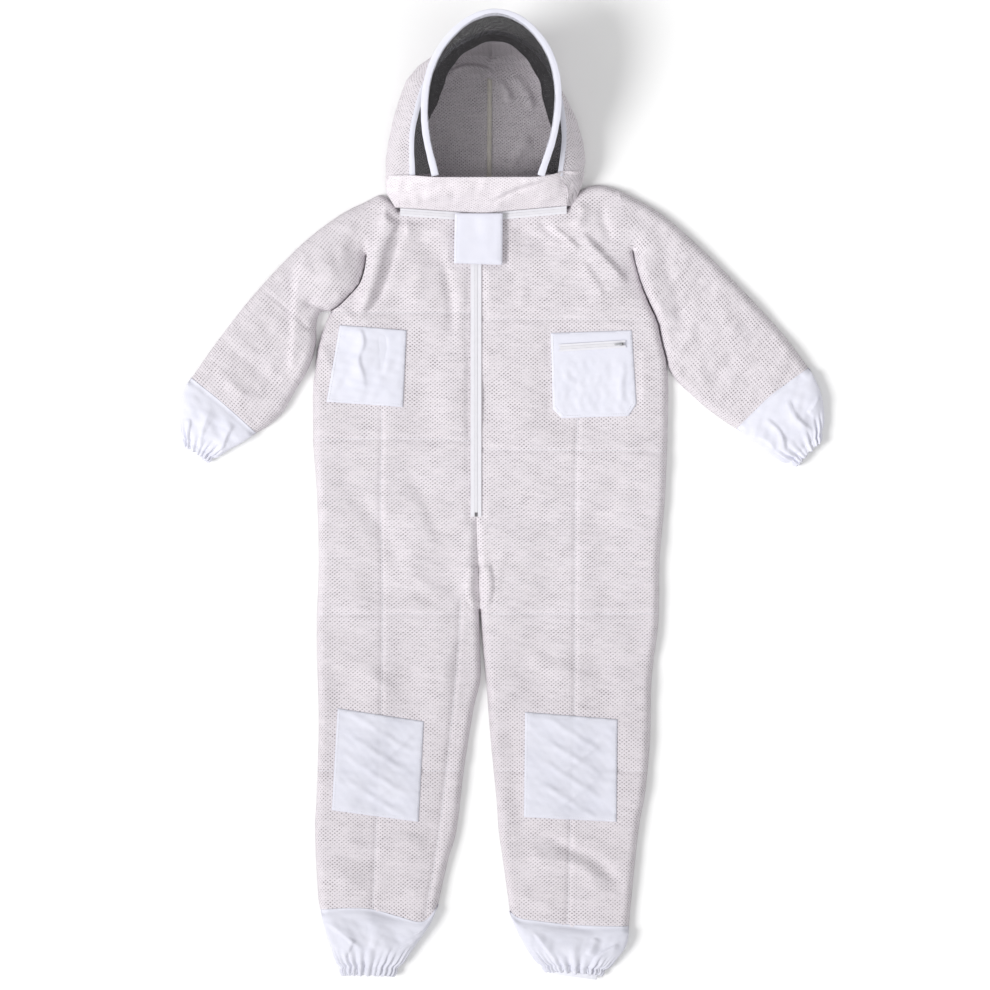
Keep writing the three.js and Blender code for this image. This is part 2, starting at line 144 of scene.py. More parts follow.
def fill(outline, step):
    """Even triangles inside a closed outline. Returns points, triangles and the outline's indices."""
    low, high = outline.min(axis=0), outline.max(axis=0)
    rows = np.arange(low[1], high[1], step * 0.87)
    points = []
    for i, y in enumerate(rows):
        x = np.arange(low[0] + (i % 2) * step / 2, high[0], step)
        points.append(np.stack([x, np.full(len(x), y)], axis=1))
    grid = np.vstack(points)
    grid = grid[inside(grid, outline)]
    ring = np.vstack([outline, outline[:1]])
    grid = grid[nearest(grid, ring)[0] > step * 0.55]
    verts = [Vector(p) for p in np.vstack([outline, grid])]
    n = len(outline)
    edges = [(i, (i + 1) % n) for i in range(n)]
    made = geometry.delaunay_2d_cdt(verts, edges, [], 1, 1e-3)
    place = {source: k for k, sources in enumerate(made[3]) for source in sources if source < n}
    return np.array([v[:] for v in made[0]]), [tuple(f) for f in made[2]], [place[i] for i in range(n)]


def ease(t):
    """A smooth step from 0 to 1."""
    t = np.clip(t, 0, 1)
    return t * t * (3 - 2 * t)


def rumple(points, scale, seed, squeeze=(1.0, 1.0)):
    """A smooth random height between about -1 and 1 with features "scale" wide."""
    draw = np.random.default_rng(seed)
    total = np.zeros(len(points))
    stretched = points / np.array(squeeze)
    for _ in range(9):
        angle, wide, phase = draw.uniform(0, math.pi), scale * draw.uniform(0.7, 1.9), draw.uniform(0, 6.3)
        across = stretched @ np.array([math.cos(angle), math.sin(angle)])
        total += np.sin(across * 2 * math.pi / wide + phase)
    return total / 4.5


# ---------------------------------------------------------------- folds of the cloth
def taper(share, ends):
    """Fades a fold in over its first share and out over its last."""
    start, stop = ends
    result = np.ones(len(share))
    if start:
        result = result * ease(share / start)
    if stop:
        result = result * ease((1 - share) / stop)
    return result


def beside(points, path, reach, shape, ends):
    """A height that depends on the distance and side of a path, and is worked out only near it."""
    path = smooth(path, 8)
    low, high = path.min(axis=0) - reach, path.max(axis=0) + reach
    close = np.all((points > low) & (points < high), axis=1)
    result = np.zeros(len(points))
    if close.any():
        dist, side, share, _ = nearest(points[close], path)
        result[close] = shape(dist, side, share) * taper(share, ends)
    return result


def ridge(points, path, high, wide, ends=(0.25, 0.25)):
    """A soft ridge (or a valley, with high below 0) along a path."""
    return beside(points, path, 3 * wide, lambda d, side, share: high * np.exp(-(d / wide) ** 2), ends)


def lap(points, path, high, wide, sharp=4.0, ends=(0.2, 0.2)):
    """A fold that laps over: it rises gently on the left of its path and drops sharply on its right."""
    shape = lambda d, side, share: high * np.where(
        side > 0, np.exp(-(d / wide) ** 1.5), np.exp(-(d / sharp) ** 2))
    return beside(points, path, 4 * wide, shape, ends)


def tongue(points, path, high, half_from, half_to, ends=(0.1, 0.3)):
    """A round-topped raised strip along a path, with steep sides."""
    shape = lambda d, side, share: high * np.sqrt(
        np.clip(1 - (d / (half_from + (half_to - half_from) * share)) ** 2, 0, 1))
    return beside(points, path, max(half_from, half_to), shape, ends)


def mound(points, centre, size, high, turn=0.0):
    """A round swelling."""
    rel = points - np.array(centre)
    c, s = math.cos(turn), math.sin(turn)
    u = (rel[:, 0] * c + rel[:, 1] * s) / size[0]
    v = (rel[:, 1] * c - rel[:, 0] * s) / size[1]
    return high * ease(1 - np.hypot(u, v))


def within(points, x0, x1, y0, y1, soft=10):
    """1 inside a rectangle, easing to 0 around it."""
    dx = np.maximum(np.maximum(x0 - points[:, 0], points[:, 0] - x1), 0)
    dy = np.maximum(np.maximum(y0 - points[:, 1], points[:, 1] - y1), 0)
    return 1 - ease(np.hypot(dx, dy) / soft)


def neckline(x):
    """Middle of the neck zip, as in the CAD: a shallow V under the flap."""
    return 530 + (x + 40) * (-0.07 if x < -40 else 0.09)


NECK_PATH = [(-200, neckline(-200)), (-40, 530), (130, neckline(130))]
FLAT_Z = 23.4          # the zips, the zipped pocket and the flap hold the cloth down to this height


def press(points, z):
    """Keeps the cloth down where a zip, the zipped pocket or the flap lies on it."""
    held = within(points, 90, 261, 147, 321)
    held = np.maximum(held, within(points, ZIP_X - 11, ZIP_X + 11, -42, 545, 14))
    held = np.maximum(held, within(points, -94, 8, 438, 545, 12))
    held = np.maximum(held, 1 - ease((nearest(points, NECK_PATH)[0] - 12) / 12))
    return z - held * np.maximum(z - FLAT_Z, 0)


QUILT = {
    "right": [
        [(-227, 165), (-229, -20), (-226, -200), (-228, -400), (-236, -600), (-244, -786)],
        [(-345, 349), (-56, 349)], [(-354, 107), (-200, 110), (-56, 106)], [(-347, -223), (-66, -223)],
        [(-350, -521), (-80, -521)], [(-77, -197), (-86, -339), (-117, -630), (-145, -800)],
    ],
    "left": [
        [(146, 149), (142, 60), (140, -200), (139, -420), (132, -610), (126, -816)],
        [(-40, 337), (300, 337)], [(-40, 90), (150, 88), (314, 86)], [(-20, -223), (296, -223)],
        [(-5, -521), (276, -521)],
    ],
}


def quilting(p):
    """The shallow channels of the quilting lines."""
    return sum(ridge(p, line, -QUILT_DEPTH, QUILT_WIDTH, (0, 0)) for line in QUILT["right"] + QUILT["left"])


# Each fold is its kind and its path, then its height, its width and the shares of its ends that fade.
BODY_FOLDS = [
    (ridge, [(ZIP_X, 560), (ZIP_X, 250), (ZIP_X, -40)], -2.2, 14, (0, 0.05)),
    (ridge, [(ZIP_X, -30), (-44, -130), (-41, -216)], -7, 7, (0.1, 0)),
    # Wearer's right: the long tongue of slack cloth from the neck to the pocket.
    (tongue, [(-204, 552), (-216, 515), (-232, 470), (-242, 421), (-262, 364), (-286, 328)], 13, 17, 9),
    (ridge, [(-186, 512), (-202, 470), (-216, 425), (-238, 372), (-262, 336)], -6, 7),
    (ridge, [(-262, 500), (-262, 450), (-272, 400), (-292, 356)], -7, 8),
    (lap, [(-176, 530), (-180, 512), (-176, 494)], 5, 12, 3),
    (ridge, [(-168, 505), (-135, 468), (-108, 440)], -5, 20),
    (ridge, [(-118, 478), (-106, 430), (-94, 360), (-96, 300)], -4, 10),
    (ridge, [(-84, 440), (-80, 360), (-82, 270)], 2.6, 12),
    (ridge, [(-150, 460), (-160, 400), (-170, 350)], 2.4, 14),
    (ridge, [(-318, 340), (-300, 350), (-276, 334)], 4.5, 8),
    (ridge, [(-344, 290), (-330, 262), (-322, 220)], 3, 9),
    # Wearer's left: creases that fan out from the neck to the pocket and the sleeve.
    (lap, [(242, 400), (219, 428), (198, 451), (176, 474), (150, 505)], 9, 26, 5),
    (lap, [(150, 468), (124, 492), (96, 512)], 6, 15, 4),
    (lap, [(196, 372), (176, 412), (150, 450)], 3.5, 16, 6),
    (ridge, [(70, 528), (96, 500), (132, 484)], -5, 9),
    (ridge, [(156, 560), (150, 530), (140, 508)], 7, 13),
    (ridge, [(190, 560), (196, 520), (214, 480)], -4, 9),
    (ridge, [(20, 505), (60, 492), (100, 470)], -3, 16),
    (ridge, [(236, 470), (262, 400), (286, 350)], -5, 16),
    (ridge, [(30, 440), (40, 400), (36, 350)], 2, 12),
    # Waist and hips.
    (ridge, [(-340, 90), (-230, 96), (-90, 88)], 1.3, 12),
    (ridge, [(60, 86), (160, 96), (290, 80)], 1.3, 12),
    (ridge, [(-58, -60), (-66, -140), (-70, -230)], 1.8, 10),
    (ridge, [(10, -70), (-6, -150), (-10, -230)], 1.6, 10),
    (ridge, [(-120, 40), (-105, -60), (-98, -180)], -1.6, 22),
    (ridge, [(180, 40), (196, -120), (190, -260)], -1.3, 26),
    (ridge, [(-140, 349), (-200, 352), (-290, 352)], 1.0, 12),
    # The crotch: two lips of slack cloth round the end of the seam, and drag lines out of it.
    (tongue, [(-52, -128), (-60, -160), (-58, -190), (-46, -216)], 6, 9, 7),
    (tongue, [(-30, -128), (-23, -160), (-25, -190), (-36, -216)], 6, 9, 7),
    (ridge, [(-62, -205), (-110, -190), (-170, -150)], 2.6, 13),
    (ridge, [(-20, -205), (30, -200), (90, -160)], 2.2, 13),
    (ridge, [(-66, -240), (-100, -300), (-110, -380)], 2.4, 12),
    (ridge, [(-300, 20), (-230, -60), (-180, -160)], -3.6, 18),
    (ridge, [(-180, 60), (-140, -20), (-110, -100)], -3.2, 15),
    (ridge, [(240, 40), (180, -40), (120, -130)], -3.2, 18),
    # Legs.
    (ridge, [(-320, -640), (-260, -668), (-180, -655), (-130, -690)], 4.5, 15),
    (ridge, [(40, -650), (80, -690), (150, -700), (200, -760)], 5, 15),
    (ridge, [(70, -640), (130, -670), (190, -700), (240, -760)], -5, 13),
    (ridge, [(30, -740), (60, -770), (110, -780)], 2.4, 12),
    (ridge, [(-320, -720), (-260, -740), (-200, -730)], 2, 14),
    (ridge, [(-330, -300), (-260, -330), (-200, -380)], 3.4, 15),
    (ridge, [(40, -290), (110, -330), (190, -340)], 3.2, 15),
    (ridge, [(-70, -380), (-110, -560), (-150, -720)], -1.6, 14),
    (ridge, [(10, -380), (30, -560), (52, -720)], -1.6, 14),
]


def folded(points, height, folds):
    """A height with folds added: each fold is its kind, its path and its sizes."""
    for kind, *sizes in folds:
        height += kind(points, *sizes)
    return height


def body_height(p):
    """Height of the body's front cloth, with the folds of the chest, waist and legs."""
    z = LOFT + 2.6 * rumple(p, 120, 3, (1, 1.5)) + 1.7 * rumple(p, 52, 4, (1.5, 1))
    z += 0.6 * rumple(p, 21, 5, (1.8, 1)) + quilting(p)
    return folded(p, z, BODY_FOLDS)


SLEEVE_TURN = {"right": math.radians(-40.5), "left": math.radians(40.2)}   # along each wrist seam


SLEEVE_QUILT = {
    "right": [(-453, 394), (-398, 350), (-352, 312)],
    "left": [(423, 417), (362, 371), (306, 328)],
}
SHOULDER = {
    "right": [(-252, 563), (-253, 512), (-256, 457)],
    "left": [(222, 583), (238, 530), (250, 466)],
}


SLEEVE_FOLDS = {
    "right": [
        (mound, (-322, 424), (86, 80), 20, 0.3),
        (lap, [(-362, 476), (-383, 420), (-391, 350), (-394, 284), (-402, 215)], 8, 46, 7),
        (ridge, [(-268, 520), (-300, 496), (-352, 474)], 3, 16),
        (ridge, [(-336, 356), (-356, 366), (-382, 372)], -8, 7, (0, 0.4)),
        (ridge, [(-348, 326), (-366, 322), (-386, 326)], -5, 6, (0, 0.4)),
        (ridge, [(-352, 300), (-368, 262), (-392, 220)], 3.5, 11),
        (ridge, [(-420, 430), (-470, 340), (-510, 250)], 2.6, 24),
        (ridge, [(-430, 178), (-480, 190), (-550, 246)], 2.6, 11),
        (ridge, [(-410, 210), (-450, 230), (-520, 290)], -2.6, 12),
        (ridge, [(-280, 540), (-300, 470), (-290, 420)], 3, 13),
    ],
    "left": [
        (ridge, [(250, 540), (268, 450), (302, 360), (318, 290)], 9, 36),
        (ridge, [(296, 480), (330, 390), (352, 300)], -4, 16),
        (ridge, [(322, 262), (346, 284), (372, 336)], 4, 11),
        (ridge, [(306, 330), (330, 322), (360, 330)], -3.5, 8, (0, 0.4)),
        (ridge, [(400, 440), (440, 330), (470, 230)], 2.6, 22),
        (ridge, [(474, 296), (430, 250), (384, 205)], -4, 14),
        (ridge, [(440, 172), (492, 206), (566, 290)], 2.4, 12),
    ],
}


def sleeve_height(side):
    """The height of a sleeve's cloth, which takes over the body's folds at the shoulder seam."""
    def height(p):
        z = LOFT + 1.7 * rumple(p, 95, 11, (1, 1.3)) + 1.0 * rumple(p, 40, 12) + 0.5 * rumple(p, 19, 13)
        z += ridge(p, SLEEVE_QUILT[side], -1.6, 4.2, (0, 0))
        z = folded(p, z, SLEEVE_FOLDS[side])
        dist = nearest(p, SHOULDER[side])[0]
        share = np.exp(-(dist / 26) ** 2)
        return z * (1 - share) + body_height(p) * share
    return height


# ---------------------------------------------------------------- meshes
def make_object(name, points, faces, uv, material):
    """A smooth mesh piece from points in millimetres, with uv in metres for each point."""
    mesh = bpy.data.meshes.new(name)
    mesh.from_pydata((np.asarray(points) * MM).tolist(), [], faces)
    layer = mesh.uv_layers.new(name="weave")
    corners = np.empty(len(mesh.loops), int)
    mesh.loops.foreach_get("vertex_index", corners)
    layer.data.foreach_set("uv", (np.asarray(uv)[corners] * MM).ravel())
    mesh.materials.append(material)
    mesh.polygons.foreach_set("use_smooth", [True] * len(mesh.polygons))
    mesh.validate()
    piece = bpy.data.objects.new(name, mesh)
    bpy.context.scene.collection.objects.link(piece)
    return piece


def turned(points, angle):
    """Flat points turned by an angle, for cloth cut on another grain."""
    c, s = math.cos(angle), math.sin(angle)
    return points[:, :2] @ np.array([[c, -s], [s, c]])


def attach(piece, slot, *nodes, body=None, bend=None):
    """Hides the CAD nodes a piece stands for, parents it to its body's empty if a body is given, and bakes
    its transform into its mesh if a bend is given. slot is not used.
    """
    if body:
        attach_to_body(piece, body)
    if nodes:
        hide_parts(*nodes)
    if bend:
        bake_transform(piece)


class Cloth:
    """A closed, lofted cloth body over an outline.

    stretches is a list of (points, free): a free stretch is an edge of the cloth that rounds
    down to the floor, and any other is sewn on to a neighbour, so the cloth keeps its height.
    Along the seams the cloth dips a little.
    """

    def __init__(self, stretches, height, round_over, seams=()):
        self.seams = [smooth(p, 8) for p in seams]
        self.height = height
        self.round_over = round_over
        self.free = [smooth(p) for p, free in stretches if free]
        outline, inset = [], []
        for p, free in stretches:
            run = smooth(p)[:-1]
            outline.append(run)
            inset.append(np.full(len(run), 4.0 if free else 0.0))
        self.outline = np.vstack(outline)
        self.inset = np.concatenate(inset)

    def top(self, points):
        """Height of the cloth's upper face."""
        points = points[:, :2]
        gap = np.full(len(points), FAR)
        for path in self.free:
            gap = np.minimum(gap, nearest(points, path)[0])
        t = np.clip(gap / self.round_over, 0, 1)
        dome = np.sqrt(np.clip(1 - (1 - t) ** 2, 0, 1))
        swell = 2.5 * ease(gap / 90)
        rise = press(points, self.height(points) + swell)
        for path in self.seams:
            rise = rise - 2.0 * np.exp(-(nearest(points, path)[0] / 5) ** 2)
        return LIP + (rise - LIP) * dome

    def spread(self, points, normals):
        """Where points of the cloth lie once its rounded edges are laid out flat."""
        best = np.full(len(points), FAR)
        away = np.zeros((len(points), 2))
        for path in self.free:
            dist, _, _, off = nearest(points, path)
            closer = dist < best
            best[closer], away[closer] = dist[closer], off[closer]
        t = 1 - np.clip(best / self.round_over, 0, 1)
        extra = 12.5 * t ** 2.2
        unit = away / np.maximum(best, 1e-6)[:, None]
        on_edge = best < 0.3
        unit[on_edge] = normals[on_edge]
        return points - unit * extra[:, None]

    def build(self, name, material, grain=0.0):
        """Makes the mesh: the upper face, the underside and the walls between them."""
        flat, faces, top_ring = fill(self.outline, CLOTH_STEP)
        points = np.column_stack([flat, self.top(flat)])
        ring = self.outline
        ahead, behind = np.roll(ring, -1, axis=0), np.roll(ring, 1, axis=0)
        tangent = ahead - behind
        normal = np.stack([-tangent[:, 1], tangent[:, 0]], axis=1)
        normal /= np.linalg.norm(normal, axis=1)[:, None]
        if not inside(ring[:1] + normal[:1], ring)[0]:
            normal = -normal
        low = ring + normal * self.inset[:, None]
        under, under_faces, low_ring = fill(low, 30)
        low_ring = [len(flat) + k for k in low_ring]
        points = np.vstack([points, np.column_stack([under, np.full(len(under), SOLE)])])
        n = len(ring)
        flip = np.cross(np.append(ring[1] - ring[0], 0), np.append(normal[0], 0))[2] > 0
        walls = []
        for i in range(n):
            j = (i + 1) % n
            quad = (top_ring[i], low_ring[i], low_ring[j], top_ring[j])
            walls.append(quad if flip else quad[::-1])
        below = [tuple(len(flat) + k for k in reversed(f)) for f in under_faces]
        ring_normal = np.zeros((len(flat), 2))
        ring_normal[top_ring] = normal
        laid = self.spread(flat, ring_normal)
        uv = turned(np.vstack([laid, under]), grain)
        piece = make_object(name, points, faces + walls + below, uv, material)
        sewn = {frozenset((r[i], r[(i + 1) % n])) for r in (top_ring, low_ring) for i in range(n)
                if self.inset[i] == 0}
        for edge in piece.data.edges:
            if frozenset(edge.vertices) in sewn:
                edge.use_edge_sharp = True
        return piece


def patch(name, corners, under, thick, material, body, node, own=None, lift=0.3, soft=3.0,
          sewn=(0, 1, 2, 3)):
    """A flat sewn-on piece that follows the cloth below it, stitched along some of its sides."""
    sides = [smooth([a, b], PATCH_STEP)[:-1] for a, b in zip(corners, corners[1:] + corners[:1])]
    outline = np.vstack(sides)
    flat, faces, edge = fill(outline, PATCH_STEP)
    ring = np.vstack([outline, outline[:1]])

    def top_z(points):
        gap = nearest(points, ring)[0]
        puff = np.sqrt(np.clip(1 - (1 - np.clip(gap / soft, 0, 1)) ** 2, 0.05, 1))
        groove = -0.6 * np.exp(-((gap - 5) / 1.3) ** 2)
        rise = 0 if own is None else own(points) * ease(gap / 12)
        return under(points) + lift + thick * puff + groove + rise

    top = np.column_stack([flat, top_z(flat)])
    below = np.column_stack([flat, under(flat) + lift])
    n = len(flat)
    area = np.sum(outline[:, 0] * np.roll(outline[:, 1], -1) - np.roll(outline[:, 0], -1) * outline[:, 1])
    pairs = list(zip(edge, edge[1:] + edge[:1]))
    walls = [(a, a + n, b + n, b) if area > 0 else (b, b + n, a + n, a) for a, b in pairs]
    made = faces + walls + [tuple(n + k for k in reversed(f)) for f in faces]
    piece = make_object(name, np.vstack([top, below]), made, np.vstack([flat, flat]), material)
    attach(piece, "white_cotton", *([node] if node else []), body=body)
    runs = inset(corners, 6.5)
    if sewn:
        thread = stitches(name + "_thread", [runs[k] for k in sewn], lambda p: top_z(p) + 0.1)
        attach(thread, "white_cotton", body=body)


def inset(corners, by):
    """Runs a little inside each side of a convex patch."""
    p = np.array(corners, float)
    middle = p.mean(axis=0)
    p = middle + (p - middle) * (1 - by / np.linalg.norm(p - middle, axis=1))[:, None]
    return [[tuple(a), tuple(b)] for a, b in zip(p, np.roll(p, -1, axis=0))]


def stitches(name, paths, surface, long=3.0, gap=1.6, wide=0.8, high=0.5):
    """A row of raised thread stitches along each path, lying on a surface."""
    points, faces = [], []
    for path in paths:
        run = smooth(path, 2.0)
        along = lengths(run)
        starts = np.arange(0, along[-1] - long, long + gap)
        ends = starts + long
        a, b = sampled(run, starts, along), sampled(run, ends, along)
        across = np.stack([-(b - a)[:, 1], (b - a)[:, 0]], axis=1)
        across *= wide / 2 / np.linalg.norm(across, axis=1)[:, None]
        za, zb = surface(a), surface(b)
        mid = (a + b) / 2
        for k in range(len(a)):
            base = len(points)
            for spot, z in ((a[k], za[k]), (b[k], zb[k])):
                points.append((*(spot - across[k]), z))
                points.append((*(spot + across[k]), z))
            points.append((*(mid[k] * 0.5 + a[k] * 0.5), (za[k] * 0.75 + zb[k] * 0.25) + high))
            points.append((*(mid[k] * 0.5 + b[k] * 0.5), (za[k] * 0.25 + zb[k] * 0.75) + high))
            for f in ((0, 2, 5, 4), (1, 4, 5, 3), (0, 4, 1), (2, 3, 5), (0, 1, 3, 2)):
                faces.append(tuple(base + i for i in f))
    points = np.array(points)
    return make_object(name, points, faces, points[:, :2], THREAD)


def cloth_uv(grid):
    """Lengths along the cloth for a grid: across from its middle column, down from its first row."""
    across = np.linalg.norm(np.diff(grid, axis=1), axis=2)
    u = np.concatenate([np.zeros((len(grid), 1)), np.cumsum(across, axis=1)], axis=1)
    down = np.linalg.norm(np.diff(grid, axis=0), axis=2)
    v = np.concatenate([np.zeros((1, grid.shape[1])), np.cumsum(down, axis=0)])
    return np.stack([u - u[:, grid.shape[1] // 2][:, None], v], axis=-1)


def sheet_of(grid, around=False):
    """Leaves the piece as it is: with around set it only joins the grid's first column on to the end of a
    copy, which it does not keep.
    """
    if around:
        grid = np.concatenate([grid, grid[:, :1]], axis=1)


def grid_object(name, grid, material, around=False, thick=0.0):
    """A mesh over a grid of points [rows, columns, 3]; around joins its last column to its first."""
    uv = cloth_uv(grid)
    rows, columns = grid.shape[:2]
    faces = []
    for j in range(rows - 1):
        for i in range(columns if around else columns - 1):
            k = (i + 1) % columns
            faces.append((j * columns + i, j * columns + k, (j + 1) * columns + k, (j + 1) * columns + i))
    piece = make_object(name, grid.reshape(-1, 3), faces, uv.reshape(-1, 2), material)
    if thick:
        wall = piece.modifiers.new("wall", "SOLIDIFY")
        wall.thickness = thick * MM
        wall.offset = 0
    return piece


# ---------------------------------------------------------------- materials
class Nodes:
    """A short way to write a node tree."""

    def __init__(self, name):
        self.material = bpy.data.materials.new(name)
        self.material.use_nodes = True
        self.tree = self.material.node_tree
        self.shader = self.tree.nodes["Principled BSDF"]

    def new(self, kind, **settings):
        node = self.tree.nodes.new(kind)
        for key, value in settings.items():
            setattr(node, key, value)
        return node

    def link(self, source, target):
        self.tree.links.new(source, target)

    def give(self, socket, value):
        """Links an output to a socket, or sets the socket to a number or a colour."""
        if isinstance(value, bpy.types.NodeSocket):
            self.link(value, socket)
        else:
            socket.default_value = (*value, 1) if isinstance(value, tuple) else value

    def math(self, operation, a, b=None):
        node = self.new("ShaderNodeMath", operation=operation)
        for socket, value in zip(node.inputs, (a, b)):
            if value is not None:
                self.give(socket, value)
        return node.outputs[0]

    def add(self, a, b):
        return self.math("ADD", a, b)

    def sub(self, a, b):
        return self.math("SUBTRACT", a, b)

    def mul(self, a, b):
        return self.math("MULTIPLY", a, b)

    def place(self, use_uv=True):
        if use_uv:
            return self.new("ShaderNodeUVMap", uv_map="weave").outputs["UV"]
        return self.new("ShaderNodeTexCoord").outputs["Object"]

    def axes(self, place):
        parts = self.new("ShaderNodeSeparateXYZ")
        self.link(place, parts.inputs[0])
        return parts.outputs

    def wave(self, axis, pitch_mm):
        turns = self.math("MULTIPLY_ADD", axis, 2 * math.pi / (pitch_mm * MM))
        turns.node.inputs[2].default_value = 0
        return self.math("SINE", turns)

    def noise(self, place, size_mm, detail=2.0, rough=0.5):
        node = self.new("ShaderNodeTexNoise")
        node.inputs["Scale"].default_value = 1 / (size_mm * MM)
        node.inputs["Detail"].default_value = detail
        node.inputs["Roughness"].default_value = rough
        self.link(place, node.inputs["Vector"])
        return node.outputs["Fac"]

    def step(self, value, low, high):
        node = self.new("ShaderNodeMapRange")
        node.interpolation_type = "SMOOTHSTEP"
        node.inputs["From Min"].default_value = low
        node.inputs["From Max"].default_value = high
        self.link(value, node.inputs["Value"])
        return node.outputs["Result"]

    def ramp(self, value, *stops):
        node = self.new("ShaderNodeValToRGB")
        while len(node.color_ramp.elements) < len(stops):
            node.color_ramp.elements.new(0.5)
        for element, (at, colour) in zip(node.color_ramp.elements, stops):
            element.position = at
            element.color = (*colour, 1)
        self.link(value, node.inputs["Fac"])
        return node.outputs["Color"]

    def mix(self, factor, a, b):
        node = self.new("ShaderNodeMix", data_type="RGBA")
        # Inputs 6 and 7 and output 2 are this node's colour sockets.
        for socket, value in zip((node.inputs["Factor"], node.inputs[6], node.inputs[7]), (factor, a, b)):
            self.give(socket, value)
        return node.outputs[2]

    def bump(self, height, strength, depth_mm):
        node = self.new("ShaderNodeBump")
        node.inputs["Strength"].default_value = strength
        node.inputs["Distance"].default_value = depth_mm * MM
        self.link(height, node.inputs["Height"])
        self.link(node.outputs[0], self.shader.inputs["Normal"])

    def finish(self, roughness, sheen=0.0, metallic=0.0, specular=0.3):
        self.shader.inputs["Roughness"].default_value = roughness
        self.shader.inputs["Sheen Weight"].default_value = sheen
        self.shader.inputs["Metallic"].default_value = metallic
        self.shader.inputs["Specular IOR Level"].default_value = specular
        return self.material


def air_mesh(name="air_mesh", skew=45, pitch=4.9, light=(0.85, 0.80, 0.848),
             shade=(0.25, 0.22, 0.235), painted_falloff=0.0):
    """Three-layer spacer mesh: pale yarn, set at an angle, with a small hole in each cell, painted dark with
    the shade inside the mesh.

    The last argument is how much greyer it turns below the hips: painted shade, darker towards the feet,
    where less light falls.
    """
    m = Nodes(name)
    place = m.place()
    u, v, _ = m.axes(place)
    drift = m.mul(m.sub(m.noise(place, 16, 2), 0.5), 0.0022)
    u, v = m.add(u, drift), m.sub(v, drift)
    half = lambda wave: m.add(m.mul(wave, 0.5), 0.5)
    c, s = math.cos(math.radians(skew)), math.sin(math.radians(skew))
    p = m.add(m.mul(u, c * 0.8), m.mul(v, s))
    q = m.sub(m.mul(v, c), m.mul(u, s * 0.8))
    cell = m.mul(half(m.wave(p, pitch)), half(m.wave(q, pitch)))
    flatten = m.new("ShaderNodeCombineXYZ")
    m.link(m.mul(u, 0.14), flatten.inputs[0])
    m.link(v, flatten.inputs[1])
    streak = m.noise(flatten.outputs[0], 5, 3, 0.6)
    blotch = m.noise(place, 30, 4, 0.6)
    uneven = m.noise(place, 3.6, 1)
    level = m.add(cell, m.mul(m.sub(uneven, 0.5), 0.5))
    level = m.add(level, m.mul(m.sub(blotch, 0.5), 1.1))
    level = m.add(level, m.mul(m.sub(streak, 0.5), 0.7))
    holes = m.step(level, 0.5, 0.95)
    yarn = m.mul(m.wave(u, 1.15), m.wave(v, 1.15))
    dull = (light[0] * 0.955, light[1] * 0.955, light[2] * 0.93)
    tint = m.ramp(m.noise(place, 90, 3), (0.3, dull), (0.7, light))
    tint = m.mix(m.step(streak, 0.38, 0.66), tint, tuple(c * 0.9 for c in light))
    # Painted shade: below the hips the mesh greys towards the feet, where less light falls.
    tint = m.mix(m.mul(m.step(m.mul(v, -1), 0.05, 0.5), painted_falloff), tint, shade)
    fine = m.mix(m.step(yarn, -0.6, 0.9), tuple(c * 0.9 for c in light), tint)
    # The holes take the shade colour: painted shade, the dim inside of the mesh seen through them.
    m.link(m.mix(holes, fine, shade), m.shader.inputs["Base Color"])
    height = m.add(m.mul(cell, -1.0), m.mul(yarn, 0.2))
    height = m.sub(height, m.mul(streak, 0.6))
    m.bump(height, 0.75, 0.9)
    return m.finish(0.95, sheen=0.12, specular=0.12)


def cotton(name="white_cotton", colour=(0.77, 0.77, 0.855), shade=(0.705, 0.71, 0.805)):
    """Plain woven white cotton drill with soft creases from wear."""
    m = Nodes(name)
    place = m.place()
    u, v, _ = m.axes(place)
    weave = m.mul(m.wave(u, 0.9), m.wave(v, 0.9))
    soft = m.noise(place, 38, 4, 0.55)
    tint = m.ramp(soft, (0.3, shade), (0.62, colour))
    woven = m.mix(m.step(weave, -0.9, 0.9), tuple(c * 0.965 for c in colour), tint)
    m.link(woven, m.shader.inputs["Base Color"])
    crease = m.noise(place, 28, 5, 0.55)
    m.bump(m.add(m.mul(weave, 0.08), m.mul(crease, 1.8)), 0.5, 0.7)
    return m.finish(0.85, sheen=0.1, specular=0.2)


def netting(name="black_net", pitch=2.3, thread=0.15, colour=(0.028, 0.026, 0.028)):
    """Fine black veil netting: crossed threads with open holes, in share of the pitch.

    The gathered net's thick threads stand for several layers.
    """
    m = Nodes(name)
    place = m.place()
    u, v, _ = m.axes(place)
    def lines(axis):
        cell = m.math("FRACT", m.mul(axis, 1 / (pitch * MM)))
        off = m.math("ABSOLUTE", m.sub(cell, 0.5))
        return m.math("LESS_THAN", off, thread / 2)
    cover = m.math("MAXIMUM", lines(u), lines(v))
    m.link(cover, m.shader.inputs["Alpha"])
    tint = m.ramp(m.noise(place, 9, 2), (0.35, colour), (0.7, tuple(c * 1.9 for c in colour)))
    m.link(tint, m.shader.inputs["Base Color"])
    m.bump(cover, 0.3, 0.3)
    return m.finish(0.6, specular=0.3)


def tape(name, colour, pitch=1.6, axis=1, rough=0.7, use_uv=False, along=0.35):
    """Woven tape: ribs along its length crossed by a finer weave."""
    m = Nodes(name)
    place = m.place(use_uv)
    parts = m.axes(place)
    ribs = m.wave(parts[1 - axis], pitch)
    picks = m.wave(parts[axis], pitch * 0.6)
    weave = m.add(ribs, m.mul(picks, along))
    dark = tuple(c * 0.93 for c in colour)
    tint = m.mix(m.step(m.noise(place, 12, 3), 0.3, 0.7), tuple(c * 0.95 for c in colour), colour)
    m.link(m.mix(m.step(weave, -1.2, 0.6), dark, tint), m.shader.inputs["Base Color"])
    m.bump(weave, 0.3, 0.25)
    return m.finish(rough, sheen=0.05, specular=0.25)


